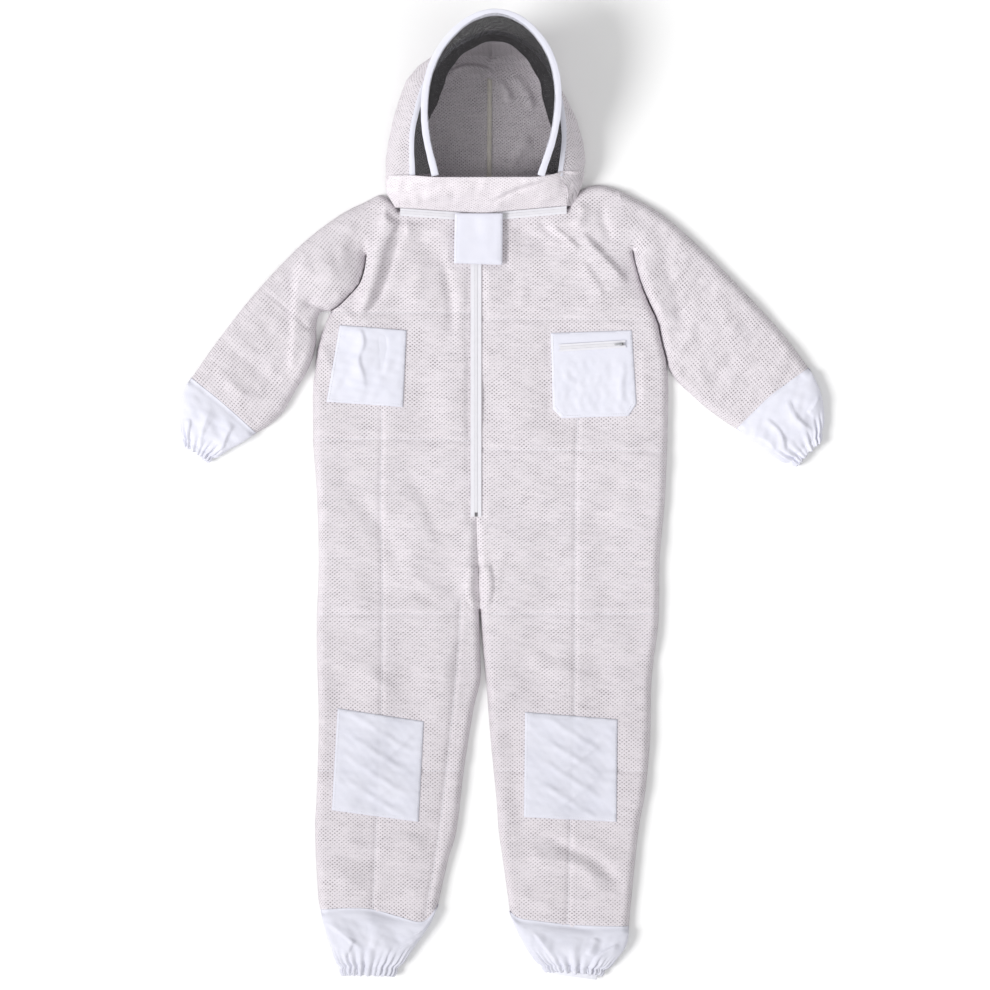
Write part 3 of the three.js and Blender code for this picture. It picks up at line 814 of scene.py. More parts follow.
def metal(name, colour, rough=0.38):
    """Die-cast or drawn metal with fine brushing and worn brighter spots."""
    m = Nodes(name)
    place = m.place(False)
    wear = m.noise(place, 2.5, 4, 0.6)
    shine = m.ramp(wear, (0.35, tuple(c * 0.7 for c in colour)), (0.68, colour))
    m.link(shine, m.shader.inputs["Base Color"])
    m.bump(m.noise(place, 0.5, 2), 0.25, 0.05)
    return m.finish(rough, metallic=0.85, specular=0.5)


# The real suit has one spacer mesh and one cotton. The variants are fitted to the photo's average
# colours, so they hold some of its lighting.
# Painted shade: the body's mesh greys below the hips, towards the feet.
AIR_MESH = air_mesh(painted_falloff=0.27)
SLEEVE_MESH = air_mesh("air_mesh_sleeve", skew=0)
# Painted shade: the same mesh as the body's, made darker and with darker holes, for the shade on the hood's
# cloth and inside it.
SHADED_HOOD_MESH = air_mesh("air_mesh_hood_shaded", pitch=4.3, light=(0.79, 0.743, 0.79), shade=(0.22, 0.2, 0.21))
# Painted light: the chin panel's mesh is a lighter copy of the body's, with paler holes, for the light on its
# steep slope.
LIT_CHIN_MESH = air_mesh("air_mesh_chin_lit", pitch=4.6, light=(0.93, 0.875, 0.925), shade=(0.5, 0.46, 0.48))
COTTON = cotton()
# Painted shade: a darker copy of the cotton for the knees and ankle cuffs, towards the feet, where less light
# falls.
COTTON_SHADED = cotton("white_cotton_shaded", (0.69, 0.69, 0.765), (0.61, 0.615, 0.70))
NET = netting()
# The gathered net: its thick threads stand for several layers of net, and its darker black is painted shade
# inside the hood.
NET_GATHERED = netting("black_net_gathered", pitch=1.1, thread=0.72, colour=(0.016, 0.015, 0.017))
ZIP_TAPE = tape("zip_tape", (0.82, 0.81, 0.86))
ZIP_COIL = tape("zip_coil", (0.78, 0.77, 0.81), pitch=1.9, axis=0, rough=0.45, along=0.1)
ELASTIC = tape("elastic", (0.84, 0.84, 0.9), pitch=1.1)
HOOK_LOOP = tape("hook_loop", (0.86, 0.86, 0.9), pitch=0.8, rough=0.95)
SLIDER = metal("slider_metal", (0.23, 0.225, 0.235))
WIRE = metal("spring_wire", (0.6, 0.61, 0.63), 0.3)
SEAM_TAPE = tape("seam_tape", (0.70, 0.665, 0.60), pitch=1.2, use_uv=True)
THREAD = tape("white_thread", (0.85, 0.85, 0.9), pitch=0.5, use_uv=True)


# ---------------------------------------------------------------- the body
ARMHOLE = {
    "right": [(-256, 457), (-260, 430), (-270, 403), (-290, 380), (-308, 362), (-324, 352)],
    "left": [(250, 466), (256, 440), (268, 400), (284, 362), (298, 330), (304, 300), (314, 261)],
}
FLANK = {
    "right": [(-324, 352), (-336, 324), (-349, 284), (-354, 240), (-358, 200), (-358, WAIST_Y)],
    "left": [(314, 261), (317, 215), (317, 160), (316, WAIST_Y)],
}
NECK_TOP = {
    "right": [(-252, 563), (-230, 573), (-210, 562), (-194, neckline(-194) + NECK_RISE)],
    "left": [(222, 583), (190, 592), (162, 588), (138, 572), (126, neckline(126) + NECK_RISE)],
}
OUTSEAM = {
    "right": [(-358, WAIST_Y), (-350, -7), (-347, -130), (-351, -260), (-347, -430), (-351, -570),
              (-354, -640), (-348, -760), (-342, -790)],
    "left": [(316, WAIST_Y), (311, -7), (301, -121), (299, -235), (286, -345), (283, -460), (274, -560),
             (261, -634), (249, -748), (242, -822)],
}
INSEAM = {
    "right": [(-41, -216), (-40, -290), (-40, -349), (-53, -406), (-71, -520), (-85, -634), (-101, -691),
              (-121, -780)],
    "left": [(-41, -216), (-35, -290), (-29, -349), (-20, -463), (-9, -577), (-5, -634), (3, -691),
             (17, -793)],
}
ANKLE_SEAM = {
    "right": [(-342, -790), (-290, -787), (-246, -789), (-195, -803), (-150, -812), (-121, -780)],
    "left": [(242, -822), (180, -821), (124, -818), (69, -811), (36, -806), (17, -793)],
}
WRIST_SEAM = {
    "right": [(-592, 221), (-545, 184), (-508, 152), (-471, 118)],
    "left": [(587, 240), (552, 215), (513, 186), (478, 152), (452, 126)],
}
SLEEVE_TOP = {
    "right": [(-252, 563), (-307, 535), (-381, 478), (-463, 392), (-531, 307), (-592, 221)],
    "left": [(222, 583), (261, 563), (307, 535), (373, 478), (459, 392), (537, 307), (587, 240)],
}
SLEEVE_UNDER = {
    "right": [(-324, 352), (-342, 351), (-351, 332), (-353, 284), (-368, 240), (-390, 204),
              (-413, 164), (-440, 137), (-471, 118)],
    "left": [(314, 261), (318, 244), (333, 221), (362, 193), (394, 165), (432, 138), (452, 126)],
}


def padded_piece(cloth, name, material, *nodes, grain=0.0, **moves):
    """Builds one of the padded cloths, hides the CAD nodes it stands for and attaches the piece. Returns the
    cloth.
    """
    piece = cloth.build(name, material, grain)
    attach(piece, "air_mesh", *nodes, **moves)
    return cloth


def body_pieces():
    """The upper body, cut down the middle by the zip and across at the waist seam."""
    made = {}
    for side, sign in (("right", -1), ("left", 1)):
        inner = ZIP_X + sign * SEAM_GAP
        neck_in = (inner, neckline(inner) + NECK_RISE)
        neck_out = NECK_TOP[side][-1]
        edges = [
            ([neck_out, neck_in], False),
            ([neck_in, (inner, WAIST_Y)], False),
            ([(inner, WAIST_Y), FLANK[side][-1]], False),
            (FLANK[side][::-1], True),
            (ARMHOLE[side][::-1], side == "left"),
            (SHOULDER[side][::-1], False),
            (NECK_TOP[side], True),
        ]
        nodes = [f"front_panel_{side}", *(["back_panel"] if side == "right" else [])]
        made[side] = padded_piece(Cloth(edges, body_height, BODY_EDGE), f"body_front_{side}", AIR_MESH,
                                  *nodes, body="suit")
    return made


# Metres, as in the joints: each hip's x, and where the cloth starts and stops turning with it.
HIP_X = {"right": -0.196, "left": 0.132}
HIP_FROM_Y, HIP_TO_Y = -0.200, -0.395


def hip_bend(side):
    """Where the cloth of a leg turns from following the suit to following the leg, in metres."""
    x = HIP_X[side]
    return "suit", f"leg_{side}", (x, HIP_FROM_Y, 0), (x, HIP_TO_Y, 0)


def leg_pieces():
    """Waist to ankle on each side: sewn at the waist and centre seam."""
    made = {}
    for side, sign in (("right", -1), ("left", 1)):
        inner = ZIP_X + sign * SEAM_GAP
        crotch = (-41 + sign * SEAM_GAP, -216)
        edges = [
            ([(inner, WAIST_Y), (inner, -40), (-44.5 + sign * SEAM_GAP, -130), crotch], False),
            ([crotch, *INSEAM[side][1:]], True),
            (ANKLE_SEAM[side][::-1], False),
            (OUTSEAM[side][::-1], True),
            ([OUTSEAM[side][0], (inner, WAIST_Y)], False),
        ]
        made[side] = padded_piece(Cloth(edges, body_height, BODY_EDGE, seams=[ANKLE_SEAM[side]]),
                                  f"leg_{side}", AIR_MESH, f"leg_front_{side}", f"leg_back_{side}",
                                  bend=hip_bend(side))
    return made


# Metres: where the cloth of a sleeve starts and stops turning with the shoulder.
ARM_BLEND = {
    "right": ((-0.372, 0.456, 0.012), (-0.548, 0.324, 0.012)),
    "left": ((0.357, 0.456, 0.012), (0.529, 0.327, 0.012)),
}


def sleeve_pieces():
    """Shoulder seam to wrist on each side."""
    made = {}
    for side in ("right", "left"):
        edges = [
            (SLEEVE_TOP[side], True),
            (WRIST_SEAM[side], False),
            (SLEEVE_UNDER[side][::-1], True),
            (ARMHOLE[side][::-1], True),
            (SHOULDER[side][::-1], False),
        ]
        cloth = Cloth(edges, sleeve_height(side), SLEEVE_EDGE, seams=[WRIST_SEAM[side]])
        made[side] = padded_piece(cloth, f"sleeve_cloth_{side}", SLEEVE_MESH, f"sleeve_{side}",
                                  grain=SLEEVE_TURN[side],
                                  bend=("suit", f"arm_{side}", *ARM_BLEND[side]))
    return made


# ---------------------------------------------------------------- the cuffs
CUFFS = {
    "wrist_cuff_right": dict(
        creases=[[(-578, 84), (-566, 130), (-548, 172)],
                 [(-596, 104), (-592, 150)],
                 [(-536, 78), (-520, 120), (-508, 138)]],
        body="arm_right", seam_height=24, mouth_height=17, gathers=17,
        left=[(-592, 221), (-603, 202), (-610, 172), (-611, 135), (-603, 99)],
        right=[(-471, 118), (-495, 102), (-522, 87), (-556, 66)]),
    "wrist_cuff_left": dict(
        creases=[[(606, 190), (594, 172), (582, 156)],
                 [(470, 116), (502, 108), (522, 88)],
                 [(596, 120), (560, 150), (540, 190)],
                 [(540, 80), (530, 120), (500, 150)]],
        body="arm_left", seam_height=24, mouth_height=17, gathers=18,
        left=[(452, 126), (472, 109), (503, 84), (535, 66), (560, 58)],
        right=[(587, 240), (603, 208), (611, 178), (613, 145), (608, 108)]),
    "ankle_cuff_right": dict(
        creases=[[(-336, -806), (-300, -832), (-262, -862)],
                 [(-246, -800), (-243, -846), (-262, -886)],
                 [(-150, -836), (-200, -868), (-238, -896)],
                 [(-300, -880), (-280, -840)]],
        body="leg_right", seam_height=25, mouth_height=19, gathers=24,
        left=[(-342, -787), (-338, -810), (-328, -845), (-316, -876), (-303, -908)],
        right=[(-121, -780), (-138, -816), (-172, -864), (-204, -910)]),
    "ankle_cuff_left": dict(
        creases=[[(60, -824), (84, -856), (112, -892)],
                 [(140, -830), (134, -890)],
                 [(226, -850), (190, -870), (166, -896)],
                 [(180, -836), (164, -872)]],
        body="leg_left", seam_height=25, mouth_height=19, gathers=24,
        left=[(17, -793), (24, -812), (44, -852), (66, -880), (86, -901)],
        right=[(242, -820), (240, -842), (228, -868), (190, -908)]),
}


RUN_BACK_ROWS = 4
BACK_SCALE = 125       # length that a share of 1 stands for where a cuff runs back over its host
# Shares of a cuff's length, from its seam to its mouth.
RUN_BACK = 0.045       # how far it runs back over the cloth it is sewn to
JOINED_OVER = 0.14     # where its top has left that cloth
STRAIGHT_BY = 0.55     # where it no longer follows the bend of its seam
ROUND_BY = 0.7         # where its section has gone from flat-sided to nearly round
GATHERS_FROM = 0.5
GATHERS_OVER = 0.46
ELASTIC_AT = 0.87      # where the elastic draws it in


def edge_of_cuff(points, share):
    """Points along one side of a cuff; a share below 0 runs back over the sleeve or leg."""
    run = smooth(points, 1.0)
    place = np.linspace(0, 1, len(run))
    xy = sampled(run, share, place)
    back = (run[0] - run[4]) / np.linalg.norm(run[0] - run[4])
    return xy + back * np.maximum(-share, 0)[:, None] * BACK_SCALE


def cuff_piece(name, host, seam, over, body, creases, seam_height, mouth_height, gathers, left, right):
    """A bloused cuff: a flattened tube, sewn over the cloth's end and drawn in by the elastic."""
    rows, columns = 60, 200
    first = RUN_BACK_ROWS
    share = np.concatenate([np.linspace(-RUN_BACK, 0, first + 1)[:-1], np.linspace(0, 1, rows - first)])
    a, b = edge_of_cuff(left, share), edge_of_cuff(right, share)
    seam = np.array(seam, float)
    if np.linalg.norm(seam[0] - left[0]) > np.linalg.norm(seam[-1] - left[0]):
        seam = seam[::-1]
    seam = smooth(seam, 2)
    half = (b - a) / 2
    normal = np.stack([-half[:, 1], half[:, 0]], 1)
    normal /= np.linalg.norm(normal, axis=1)[:, None]
    outward = -1 if ((a[-1] + b[-1]) - (a[first] + b[first])) @ normal[first] < 0 else 1
    angle = np.linspace(0, 2 * math.pi, columns, endpoint=False)
    cosine, sine = np.cos(angle), np.sin(angle)
    draw = np.random.default_rng(sum(map(ord, name)))
    wave = np.zeros(columns)
    for k in range(4):
        wave += np.sin(angle * (gathers + 4 * k) + draw.uniform(0, 6.3)) / (1 + 0.5 * k)
    grid = np.zeros((rows, columns, 3))
    for j, s in enumerate(share):
        t = max(s, 0)
        power = 0.5 + 0.35 * float(ease(t / ROUND_BY))
        across = np.sign(cosine) * np.abs(cosine) ** power
        up = np.sign(sine) * np.abs(sine) ** power
        f = (1 + across) / 2
        straight = a[first] * (1 - f)[:, None] + b[first] * f[:, None]
        place = np.linspace(0, 1, len(seam))
        bend = sampled(seam, f, place) - straight
        drawn = float(ease((t - GATHERS_FROM) / GATHERS_OVER))
        pinch = 1 - 0.09 * math.exp(-((t - ELASTIC_AT) / 0.045) ** 2)
        ruffle = 1.9 * drawn * wave
        xy = a[j] * (1 - f)[:, None] + b[j] * f[:, None] + bend * (1 - float(ease(t / STRAIGHT_BY)))
        middle = (a[j] + b[j]) / 2
        xy = middle + (xy - middle) * (pinch * (1 + ruffle * 0.010))[:, None]
        xy = xy + outward * normal[j] * (ruffle * 0.9)[:, None]
        high = (seam_height * (1 - float(ease(t))) + mouth_height * float(ease(t))
                + 6 * math.sin(math.pi * t)) / 2 * pinch
        z = high + SOLE + up * (high + ruffle * 1.1)
        soft = 2.2 * rumple(xy, 52, len(name) + 7) + 1.1 * rumple(xy, 24, len(name) + 9)
        soft = soft + sum(lap(xy, line, 5.5, 11, 3.5) for line in creases)
        z = z + np.where(sine > 0, soft * np.abs(up) * math.sin(math.pi * min(1, 0.1 + t)), 0)
        joined = 1 - float(ease(s / JOINED_OVER)) if s > 0 else 1.0
        on_top = np.clip((sine + 0.02) / 0.1, 0, 1) * joined
        z = z * (1 - on_top) + (over(xy) + 1.1) * on_top
        if s < 0:
            z = z + (s / RUN_BACK) * 0.9 * on_top
        grid[j, :, :2] = xy
        grid[j, :, 2] = np.maximum(z, SOLE)
    lips = 6
    inner = grid[-1][None].repeat(lips, 0).copy()
    middle = grid[-1].mean(axis=0)
    for k in range(lips):
        t = (k + 1) / lips
        inner[k] = middle + (grid[-1] - middle) * (1 - 0.2 * math.sin(math.pi * t / 2))
        inner[k, :, :2] += -outward * normal[-1] * 16 * (t - 0.2)
    grid = np.concatenate([grid, inner])
    if outward * np.cross(np.append(half[0], 0), np.append(normal[0], 0))[2] > 0:
        grid = grid[:, ::-1]
    # The ankle cuffs take the darker cotton: painted shade, where less light falls.
    cloth = COTTON_SHADED if "ankle" in name else COTTON
    piece = grid_object(name + "_cloth", grid, cloth, around=True, thick=0.9)
    sheet_of(grid, around=True)
    attach(piece, "white_cotton", name, body=body)


# ---------------------------------------------------------------- the hood
def hoop_path(x, z, slope, lean, half, step=6.0):
    """A hoop's middle line from its right foot over the top to its left foot."""
    right = [(x + lean * d - w, HOOP_FOOT_Y + d, z + slope * d) for w, d in half]
    left = [(x + lean * d + w, HOOP_FOOT_Y + d, z + slope * d) for w, d in half[:-1]]
    return smooth(right + left[::-1], step)


FRONT = dict(x=-25, z=97, slope=0.3, lean=0.045,
             half=[(100, 0), (120, 75), (126, 140), (117, 200), (92, 250), (50, 290), (0, 305)])
REAR = dict(x=-29, z=72, slope=0.16, lean=0.05,
            half=[(139, 0), (143, 70), (138, 115), (124, 170), (100, 212), (58, 250), (0, 268)])
FRONT_PATH = hoop_path(**FRONT)
REAR_PATH = hoop_path(**REAR)


def binding(name, path, slope, wide, thick, body, node):
    """White tape folded round a hoop and stitched: flat in the hoop's plane, a little uneven."""
    tangent = np.gradient(path, axis=0)
    tangent /= np.linalg.norm(tangent, axis=1)[:, None]
    up = np.array([0, -slope, 1]) / math.hypot(1, slope)
    side = np.cross(tangent, up)
    sides = 20
    angle = np.linspace(0, 2 * math.pi, sides, endpoint=False)
    along = lengths(path)
    uneven = 0.35 * np.sin(along / 11) + 0.3 * np.sin(along / 4.3 + 1)
    grid = np.zeros((len(path), sides, 3))
    for i, a in enumerate(angle):
        c, s = math.cos(a), math.sin(a)
        flat = np.sign(c) * abs(c) ** 0.7 * (wide / 2 + uneven * 0.5)
        pinch = 1 - 0.28 * math.exp(-((c + 0.55) / 0.16) ** 2)
        rise = np.sign(s) * abs(s) ** 0.8 * (thick / 2 * pinch + uneven * 0.15)
        grid[:, i] = path + side * flat[:, None] + up * rise[:, None]
    ends = [grid.mean(axis=1)[k][None].repeat(sides, 0)[None] for k in (0, -1)]
    grid = np.concatenate([ends[0], grid, ends[1]])
    piece = grid_object(name, grid[:, ::-1], COTTON, around=True)
    attach(piece, "white_cotton", node, body=body)


NET_DOME = 15          # how far the face net stands out at its middle
NET_FULL_WIDTH = 240   # narrower than this it stands out less
SLACK = 5              # sag of the side netting, and how much more it sags at the crown
CROWN_SLACK = 27


def face_netting():
    """The front net, stretched over the front hoop and the chin, and a little domed."""
    path = FRONT_PATH
    n = len(path) // 2
    right, left = path[:n + 1], path[::-1][:n + 1]
    columns = 40
    t = np.linspace(0, 1, columns)[None, :, None]
    grid = right[:, None] * (1 - t) + left[:, None] * t
    width = np.linalg.norm(right - left, axis=1)[:, None]
    s = np.linspace(0, 1, columns)[None]
    bulge = 4 * s * (1 - s) * np.minimum(width / NET_FULL_WIDTH, 1) * NET_DOME
    bulge = bulge * ease(np.linspace(0, 1, n + 1) * 5)[:, None] + 1.0
    grid[..., 2] += bulge
    piece = grid_object("face_netting", grid, NET)
    sheet_of(grid)
    attach(piece, "black_net", "face_net", body="veil")


def side_netting():
    """The band of net from the rear hoop to the front hoop, a little slack between them."""
    count = 150
    pick = lambda path: sampled(path, np.linspace(0, 1, count), np.linspace(0, 1, len(path)))
    rear, front = pick(REAR_PATH), pick(FRONT_PATH)
    rows = 14
    t = np.linspace(0, 1, rows)[:, None, None]
    grid = rear[None] * (1 - t) + front[None] * t
    middle = np.array([-25, 745, 100])
    inward = middle - grid
    inward[..., 2] = 0
    inward /= np.linalg.norm(inward, axis=2)[..., None]
    share = np.linspace(0, 1, count)
    crown = ease((grid[..., 1] - 650) / 110)
    ripple = 1.2 * np.sin(share * 31) + 0.8 * np.sin(share * 74 + 1)
    sag = np.sin(np.pi * t)[..., 0] * (SLACK + CROWN_SLACK * crown + ripple[None])
    grid = grid + inward * sag[..., None]
    piece = grid_object("side_netting", grid, NET_GATHERED)
    sheet_of(grid)
    attach(piece, "black_net", "side_net", bend=("hood", "veil", (0, 0.608, 0.072), (0, 0.60254, 0.09574)))


HOOD_MIDDLE = -31.0    # the hood lies a little to the wearer's right
HOOD_HALF = 175        # half the hood's width beside the chin
# The hood's cloth stands out from its rim. Heights are shares of the rim's, widths of the half width.
SHOULDER_SHARE = 0.78
BELLY_SHARE = 0.42
BELLY_RISE = 4
TUCK = 0.10            # how far the cloth draws in above and below its widest line
BED = 0.62             # how much of it lies on the floor


def hood_rim(side):
    """Rim of the hood back: up the side of the chin panel, then along the rear hoop to its top."""
    n = len(REAR_PATH) // 2
    hoop = REAR_PATH[:n + 1] if side == "right" else REAR_PATH[::-1][:n + 1]
    x = {"right": -194, "left": 127}[side]
    start = [(x, neckline(x) + 10, 27), ((x + hoop[0, 0]) / 2 - (8 if side == "right" else -8), 580, 50)]
    low = smooth([*start, tuple(hoop[0])], 6)
    return np.vstack([low[:-1], hoop])


# Outer edge of the hood back from the neck to the crown: y, then x on the right and on the left.
HOOD_OUTER = np.array([
    (530, -195, 130), (546, -198, 131), (577, -216, 145), (598, -218, 153), (637, -219, 159),
    (672, -214, 155), (719, -204, 141), (761, -191, 121), (791, -180, 102), (820, -157, 86),
    (845, -124, 62), (864, -80, 30), (875.9, -17.6, -17.6)])


HOOD_FOLDS = [
    (lap, [(-14, 800), (-30, 812), (-66, 818), (-108, 802)], 12, 12, 4),
    (ridge, [(-100, 792), (-62, 804), (-30, 798)], -5, 7),
    (lap, [(-20, 858), (-50, 864), (-86, 852)], 8, 9, 4),
    (ridge, [(-8, 795), (10, 770), (16, 745)], 8, 7),
    (ridge, [(20, 806), (46, 770), (62, 730)], 7, 9),
    (ridge, [(-26, 826), (0, 838), (26, 828)], 5, 8),
    (ridge, [(60, 690), (30, 650), (16, 610)], 5, 12),
    (ridge, [(-110, 720), (-90, 680), (-96, 630)], 3, 14),
]


def hood_folds(flat):
    """Creases of the hood's back cloth, and the raised seam down its middle."""
    lift = 1.6 * rumple(flat, 70, 21) + 1.0 * rumple(flat, 30, 22) + 0.5 * rumple(flat, 15, 23)
    lift = folded(flat, lift, HOOD_FOLDS)
    return lift + 2.0 * np.exp(-(np.abs(flat[:, 0] + 23) / 5) ** 2)


def hood_shell():
    """The hood's back: one bag of cloth from rim to rim, lying on the floor."""
    rows, columns = 96, 132
    v = np.linspace(0, 1, rows)
    rims = []
    for side in ("right", "left"):
        rim = hood_rim(side)
        along = lengths(rim)
        rims.append(sampled(rim, v * along[-1], along))
    right, left = rims
    y = (right[:, 1] + left[:, 1]) / 2
    outer = HOOD_OUTER
    out_right, out_left = (np.interp(y, outer[:, 0], outer[:, k]) for k in (1, 2))
    grid = np.zeros((rows, columns, 3))
    for j in range(rows):
        rim_z = (right[j, 2] + left[j, 2]) / 2
        middle = (out_right[j] + out_left[j]) / 2
        half = max((out_left[j] - out_right[j]) / 2, 0.01)
        belly = BELLY_SHARE * rim_z + BELLY_RISE
        floor = SOLE + 0.4 + 10 * ease((v[j] - 0.9) / 0.1)

        def flank(rim, out, sign):
            """Half of the trough's section, from the rim down to the floor."""
            tucked = out - sign * TUCK * half
            return [tuple(rim),
                    (tucked, y[j], rim_z * SHOULDER_SHARE + 4),
                    (out, y[j], belly),
                    (tucked, y[j] - 2, belly * 0.35),
                    (middle + sign * BED * half, y[j] - 4, floor + 1.5)]

        outline = [*flank(right[j], out_right[j], -1), (middle, y[j] - 6, floor),
                   *flank(left[j], out_left[j], 1)[::-1]]
        run = smooth(outline, 3)
        along = lengths(run)
        at = np.linspace(0, along[-1], columns)
        grid[j] = sampled(run, at, along)
        deep = np.clip(1 - grid[j, :, 2] / max(rim_z, 1), 0, 1)
        grid[j, :, 1] -= 40 * v[j] ** 5 * deep
    flat = grid.reshape(-1, 3)[:, :2]
    low = ease((60 - grid[..., 2].reshape(-1)) / 40)
    lift = hood_folds(flat)
    inward_z = (lift * low).reshape(rows, columns)
    grid[..., 2] = np.maximum(grid[..., 2] + np.where(inward_z > 0, inward_z, inward_z * 0.2), SOLE + 1.1)
    piece = grid_object("hood_back", grid, SHADED_HOOD_MESH, thick=1.8)
    sheet_of(grid)
    x = HOOD_MIDDLE * MM
    attach(piece, "air_mesh", "hood_shell", bend=("suit", "hood", (x, 0.545, 0.026), (x, 0.604, 0.026)))


def hood_seam():
    """The felled seam down the middle of the hood's back."""
    corners = [(-28, 606), (-18, 606), (-17, 792), (-27, 796)]
    patch("hood_back_seam", corners, lambda p: SOLE + 2.4 + np.maximum(hood_folds(p), 0), 1.0, SEAM_TAPE,
          "hood", None, sewn=(1, 3), soft=1.5)


CHIN_FOLDS = [
    (lap, [(-22, 560), (-8, 570), (36, 590), (88, 602)], 5, 16, 4),
    (ridge, [(-22, 556), (-8, 565), (36, 584), (88, 597)], -3.5, 5),
    (ridge, [(-150, 560), (-120, 575), (-90, 570)], 4, 9),
    (ridge, [(60, 556), (100, 570)], 3, 8),
    (ridge, [(-170, 600), (-168, 575), (-150, 552)], 4, 8),
    (ridge, [(-60, 602), (-66, 580), (-84, 560)], 2.5, 9),
]


def chin_panel():
    """The panel under the veil, from the neck zip up to the hoops' feet, turned down at its sides."""
    rows, columns = 40, 170
    top = smooth([(-176, 609, 74), (-150, 607, 85), (-127, 605, 92), (-30, 605, 94), (78, 606, 92),
                  (100, 611, 85), (117, 617, 74)], 3)
    hem_x = np.linspace(-195, 127, 80)
    hem = np.stack([hem_x, [neckline(x) + 8.5 for x in hem_x],
                    26.5 + 4 * np.sin(np.pi * np.linspace(0, 1, 80)) ** 0.4], 1)
    at = np.array([0, 0.06, 0.18, 0.34, 0.5, 0.66, 0.82, 0.94, 1])
    pick = lambda line: sampled(line, at, np.linspace(0, 1, len(line)))
    grid = np.zeros((rows, columns, 3))
    for j, t in enumerate(np.linspace(0, 1, rows)):
        line = pick(hem) * (1 - t) + pick(top) * t
        line[:, 2] += 3 * math.sin(math.pi * t) * np.sin(np.pi * at) ** 0.5
        ends = []
        for corner, column, sign in ((line[0], 1, -1), (line[-1], 2, 1)):
            out = np.interp(corner[1], HOOD_OUTER[:, 0], HOOD_OUTER[:, column])
            tucked = out - sign * TUCK * HOOD_HALF
            shoulder = (tucked + sign * 1.5, corner[1], corner[2] * SHOULDER_SHARE + 5.5)
            ends.append([(out + sign * 1.6, corner[1], BELLY_SHARE * corner[2] + BELLY_RISE), shoulder])
        run = smooth([*ends[0], *map(tuple, line), *ends[1][::-1]], 2.5)
        along = lengths(run)
        place = np.linspace(0, along[-1], columns)
        grid[j] = sampled(run, place, along)
    flat = grid.reshape(-1, 3)[:, :2]
    lift = 2.2 * rumple(flat, 60, 31) + 1.2 * rumple(flat, 27, 32)
    lift = folded(flat, lift, CHIN_FOLDS)
    v = np.linspace(0, 1, rows)
    edge = ease(np.minimum(v, 1 - v) * 6)[:, None]
    grid[..., 2] += lift.reshape(rows, columns) * edge * ease((grid[..., 2] - 24) / 14)
    piece = grid_object("chin_cloth", grid, LIT_CHIN_MESH, thick=1.6)
    sheet_of(grid)
    attach(piece, "air_mesh", "chin_panel", body="hood")


# ---------------------------------------------------------------- sewn-on cotton
def sewn_on(bodies, legs):
    """The white cotton pieces: both pockets, the knee patches and the flap."""
    def body_z(points):
        z = bodies["left"].top(points)
        right = points[:, 0] < ZIP_X
        z[right] = bodies["right"].top(points)[right]
        return z

    pocket_at = [(-307, 326), (-180, 316), (-187, 170), (-332, 180)]
    wrinkle = lambda p: (
        1.3 * rumple(p, 34, 41, (1, 2.2)) + 0.5 * rumple(p, 16, 42, (1, 1.6))
        + lap(p, [(-262, 190), (-262, 225), (-272, 262), (-262, 292), (-270, 326)], 4.5, 15, 4, (0.5, 0))
        + ridge(p, [(-228, 320), (-224, 280), (-228, 220)], -2.2, 7)
        + ridge(p, [(-300, 230), (-280, 215), (-250, 212)], 1.2, 6))
    plain = lambda cloth: lambda p: cloth(p) - 0.85 * quilting(p)
    patch("patch_pocket_cloth", pocket_at, lambda p: plain(body_z)(p) + 1.0, 1.4, COTTON,
          "suit", "patch_pocket", wrinkle, sewn=(1, 2, 3))
    pocket_at = [(94, 311), (248, 316), (257, 176), (242, 153), (115, 149), (98, 166)]
    creased = lambda p: ease((268 - p[:, 1]) / 18) * (
        np.minimum(0.8 * rumple(p, 34, 43) + 0.5 * rumple(p, 17, 44), 1.0)
        + ridge(p, [(236, 262), (228, 210), (234, 170)], 2.0, 7)
        + ridge(p, [(110, 240), (140, 215), (170, 205)], 1.2, 7))
    patch("zip_pocket_cloth", pocket_at, lambda p: np.full(len(p), FLAT_Z), 2.2, COTTON, "suit", "zip_pocket",
          creased, sewn=(0, 1, 2, 3, 4, 5))
    knees = {
        "right": [(-311, -402), (-147, -427), (-157, -618), (-322, -596)],
        "left": [(45, -409), (221, -423), (219, -618), (43, -609)],
    }
    for side, corners in knees.items():
        m = np.mean(corners, axis=0)
        drag = [[(-78, 30 + 44 * k), (0, -22 + 44 * k), (76, -70 + 44 * k)] for k in range(-1, 3)]
        cross = [[(72, 62 - 62 * k), (20, 18 - 62 * k), (-30, -18 - 62 * k)] for k in range(2)]
        lines = [[tuple(m + q) for q in line] for line in drag + cross]
        quilt = lambda p, lines=lines: (1.1 * rumple(p, 40, 47, (1.4, 1)) + 0.5 * rumple(p, 17, 48)
                                        + sum(ridge(p, line, 2.0, 6, (0.3, 0.3)) for line in lines))
        # The knee pads take the darker cotton: painted shade, where less light falls.
        patch(f"knee_pad_{side}", corners, plain(legs[side].top), 2.2, COTTON_SHADED, f"leg_{side}",
              f"knee_patch_{side}", quilt)
    low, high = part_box("closure_flap")
    x0, x1, y0, y1 = low[0] / MM, high[0] / MM, low[1] / MM, high[1] / MM
    bend = lambda p: 0.9 * rumple(p, 46, 53, (1, 1.6)) + 0.6
    patch("flap_cloth", [(x0 - 2, y0 + 2), (x1, y0 - 1), (x1 + 1, y1), (x0, y1)],
          lambda p: 33.5 - 2.5 * ease((447 - p[:, 1]) / 7), 1.7, COTTON,
          "flap", "closure_flap", bend)


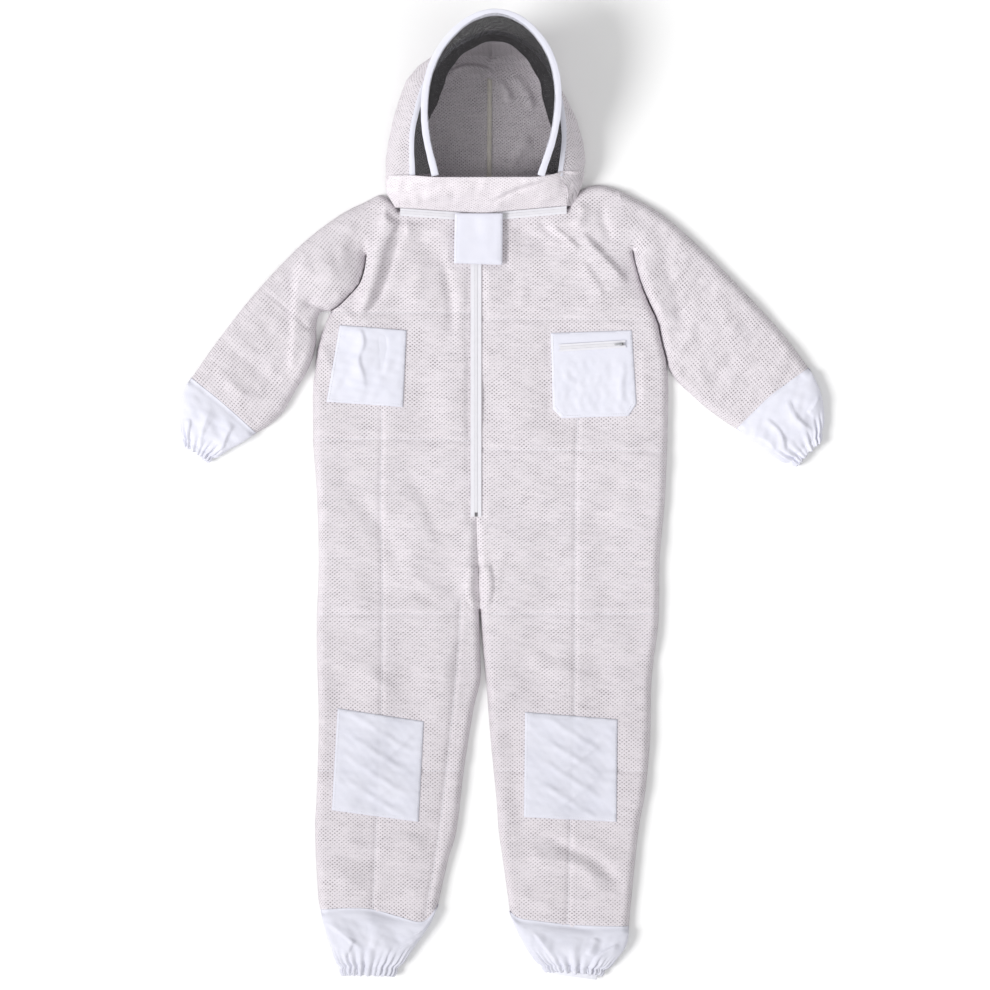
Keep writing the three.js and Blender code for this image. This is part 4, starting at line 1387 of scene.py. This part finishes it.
bodies = body_pieces()
legs = leg_pieces()
sleeves = sleeve_pieces()
for cuff_name, cuff in CUFFS.items():
    where, _, side = cuff_name.split("_")
    if where == "wrist":
        cuff_piece(cuff_name, f"sleeve_cloth_{side}", WRIST_SEAM[side], sleeves[side].top, **cuff)
    else:
        cuff_piece(cuff_name, f"leg_{side}", ANKLE_SEAM[side], legs[side].top, **cuff)
binding("rear_hoop_tape", REAR_PATH, REAR["slope"], 12.0, 5.0, "hood", "rear_hoop_binding")
binding("front_hoop_tape", FRONT_PATH, FRONT["slope"], 14.0, 5.0, "veil", "front_hoop_binding")
face_netting()
side_netting()
hood_shell()
hood_seam()
chin_panel()
sewn_on(bodies, legs)
for side in ("right", "left"):
    high = [line for line in QUILT[side] if line[-1][1] > 100]
    low = [line for line in QUILT[side] if line[-1][1] <= 100]
    chest = stitches(f"quilting_chest_{side}", high, lambda p: bodies[side].top(p) + 0.1, wide=1.5)
    attach(chest, "white_cotton", body="suit")
    leg = stitches(f"quilting_leg_{side}", low, lambda p: legs[side].top(p) + 0.1, wide=1.5)
    attach(leg, "white_cotton", bend=hip_bend(side))

# CAD pieces whose shape is right keep it, and take a finished material.
FINISHED = {
    "zip_tape": ZIP_TAPE, "zip_coil": ZIP_COIL, "slider_metal": SLIDER, "elastic": ELASTIC,
    "hook_loop": HOOK_LOOP, "spring_wire": WIRE,
}
for part in frame["record"]["subparts"]:
    if part["material_slot"] in FINISHED:
        node = frame["nodes"][part["node"]]
        for place in node.material_slots:
            place.material = WIRE if node.name.endswith("_pull") else FINISHED[part["material_slot"]]

# ---------------------------------------------------------------- floor, light and camera
floor_mesh = bpy.data.meshes.new("floor")
FLOOR_HALF, FLOOR_Z = 30, -0.0004          # metres
floor_mesh.from_pydata([(x * FLOOR_HALF, y * FLOOR_HALF, FLOOR_Z)
                        for x, y in ((-1, -1), (1, -1), (1, 1), (-1, 1))], [], [(0, 1, 2, 3)])
floor = bpy.data.objects.new("floor", floor_mesh)
bpy.context.scene.collection.objects.link(floor)
pale = Nodes("pale_floor")
mottled = pale.ramp(pale.noise(pale.place(False), 400, 3), (0.3, (0.93,) * 3), (0.7, (0.95,) * 3))
pale.link(mottled, pale.shader.inputs["Base Color"])
floor_mesh.materials.append(pale.finish(0.9, specular=0.1))


def soft_light(name, strength, spread, toward):
    """A broad, distant light that shines along a direction."""
    light = bpy.data.lights.new(name, "SUN")
    light.energy = strength
    light.angle = math.radians(spread)
    holder = bpy.data.objects.new(name, light)
    holder.rotation_euler = Vector(toward).to_track_quat("-Z", "Y").to_euler()
    holder.location = (0, 0, 3)
    bpy.context.scene.collection.objects.link(holder)


soft_light("key", 2.45, 26, (1.0, 0.28, -0.88))
soft_light("fill", 0.7, 60, (-0.5, 0.5, -1.2))
world = bpy.data.worlds.new("studio")
world.use_nodes = True
world.node_tree.nodes["Background"].inputs["Color"].default_value = (1, 1, 1, 1)
world.node_tree.nodes["Background"].inputs["Strength"].default_value = 0.46
bpy.context.scene.world = world
bpy.context.scene.view_settings.view_transform = "Standard"

LENS = 400.0
SENSOR = 36.0
FRAME_WIDTH = 1.881                        # metres of cloth level across the picture
PHOTO_MIDDLE = (-0.012, 0.003)
CLOTH_Z = 0.02                             # height at which that width is measured
camera_data = bpy.data.cameras.new("camera")
camera_data.lens = LENS
camera_data.sensor_width = SENSOR
camera_data.clip_end = 200
camera = bpy.data.objects.new("camera", camera_data)
camera.location = (*PHOTO_MIDDLE, LENS / SENSOR * FRAME_WIDTH + CLOTH_Z)
bpy.context.scene.collection.objects.link(camera)
bpy.context.scene.camera = camera
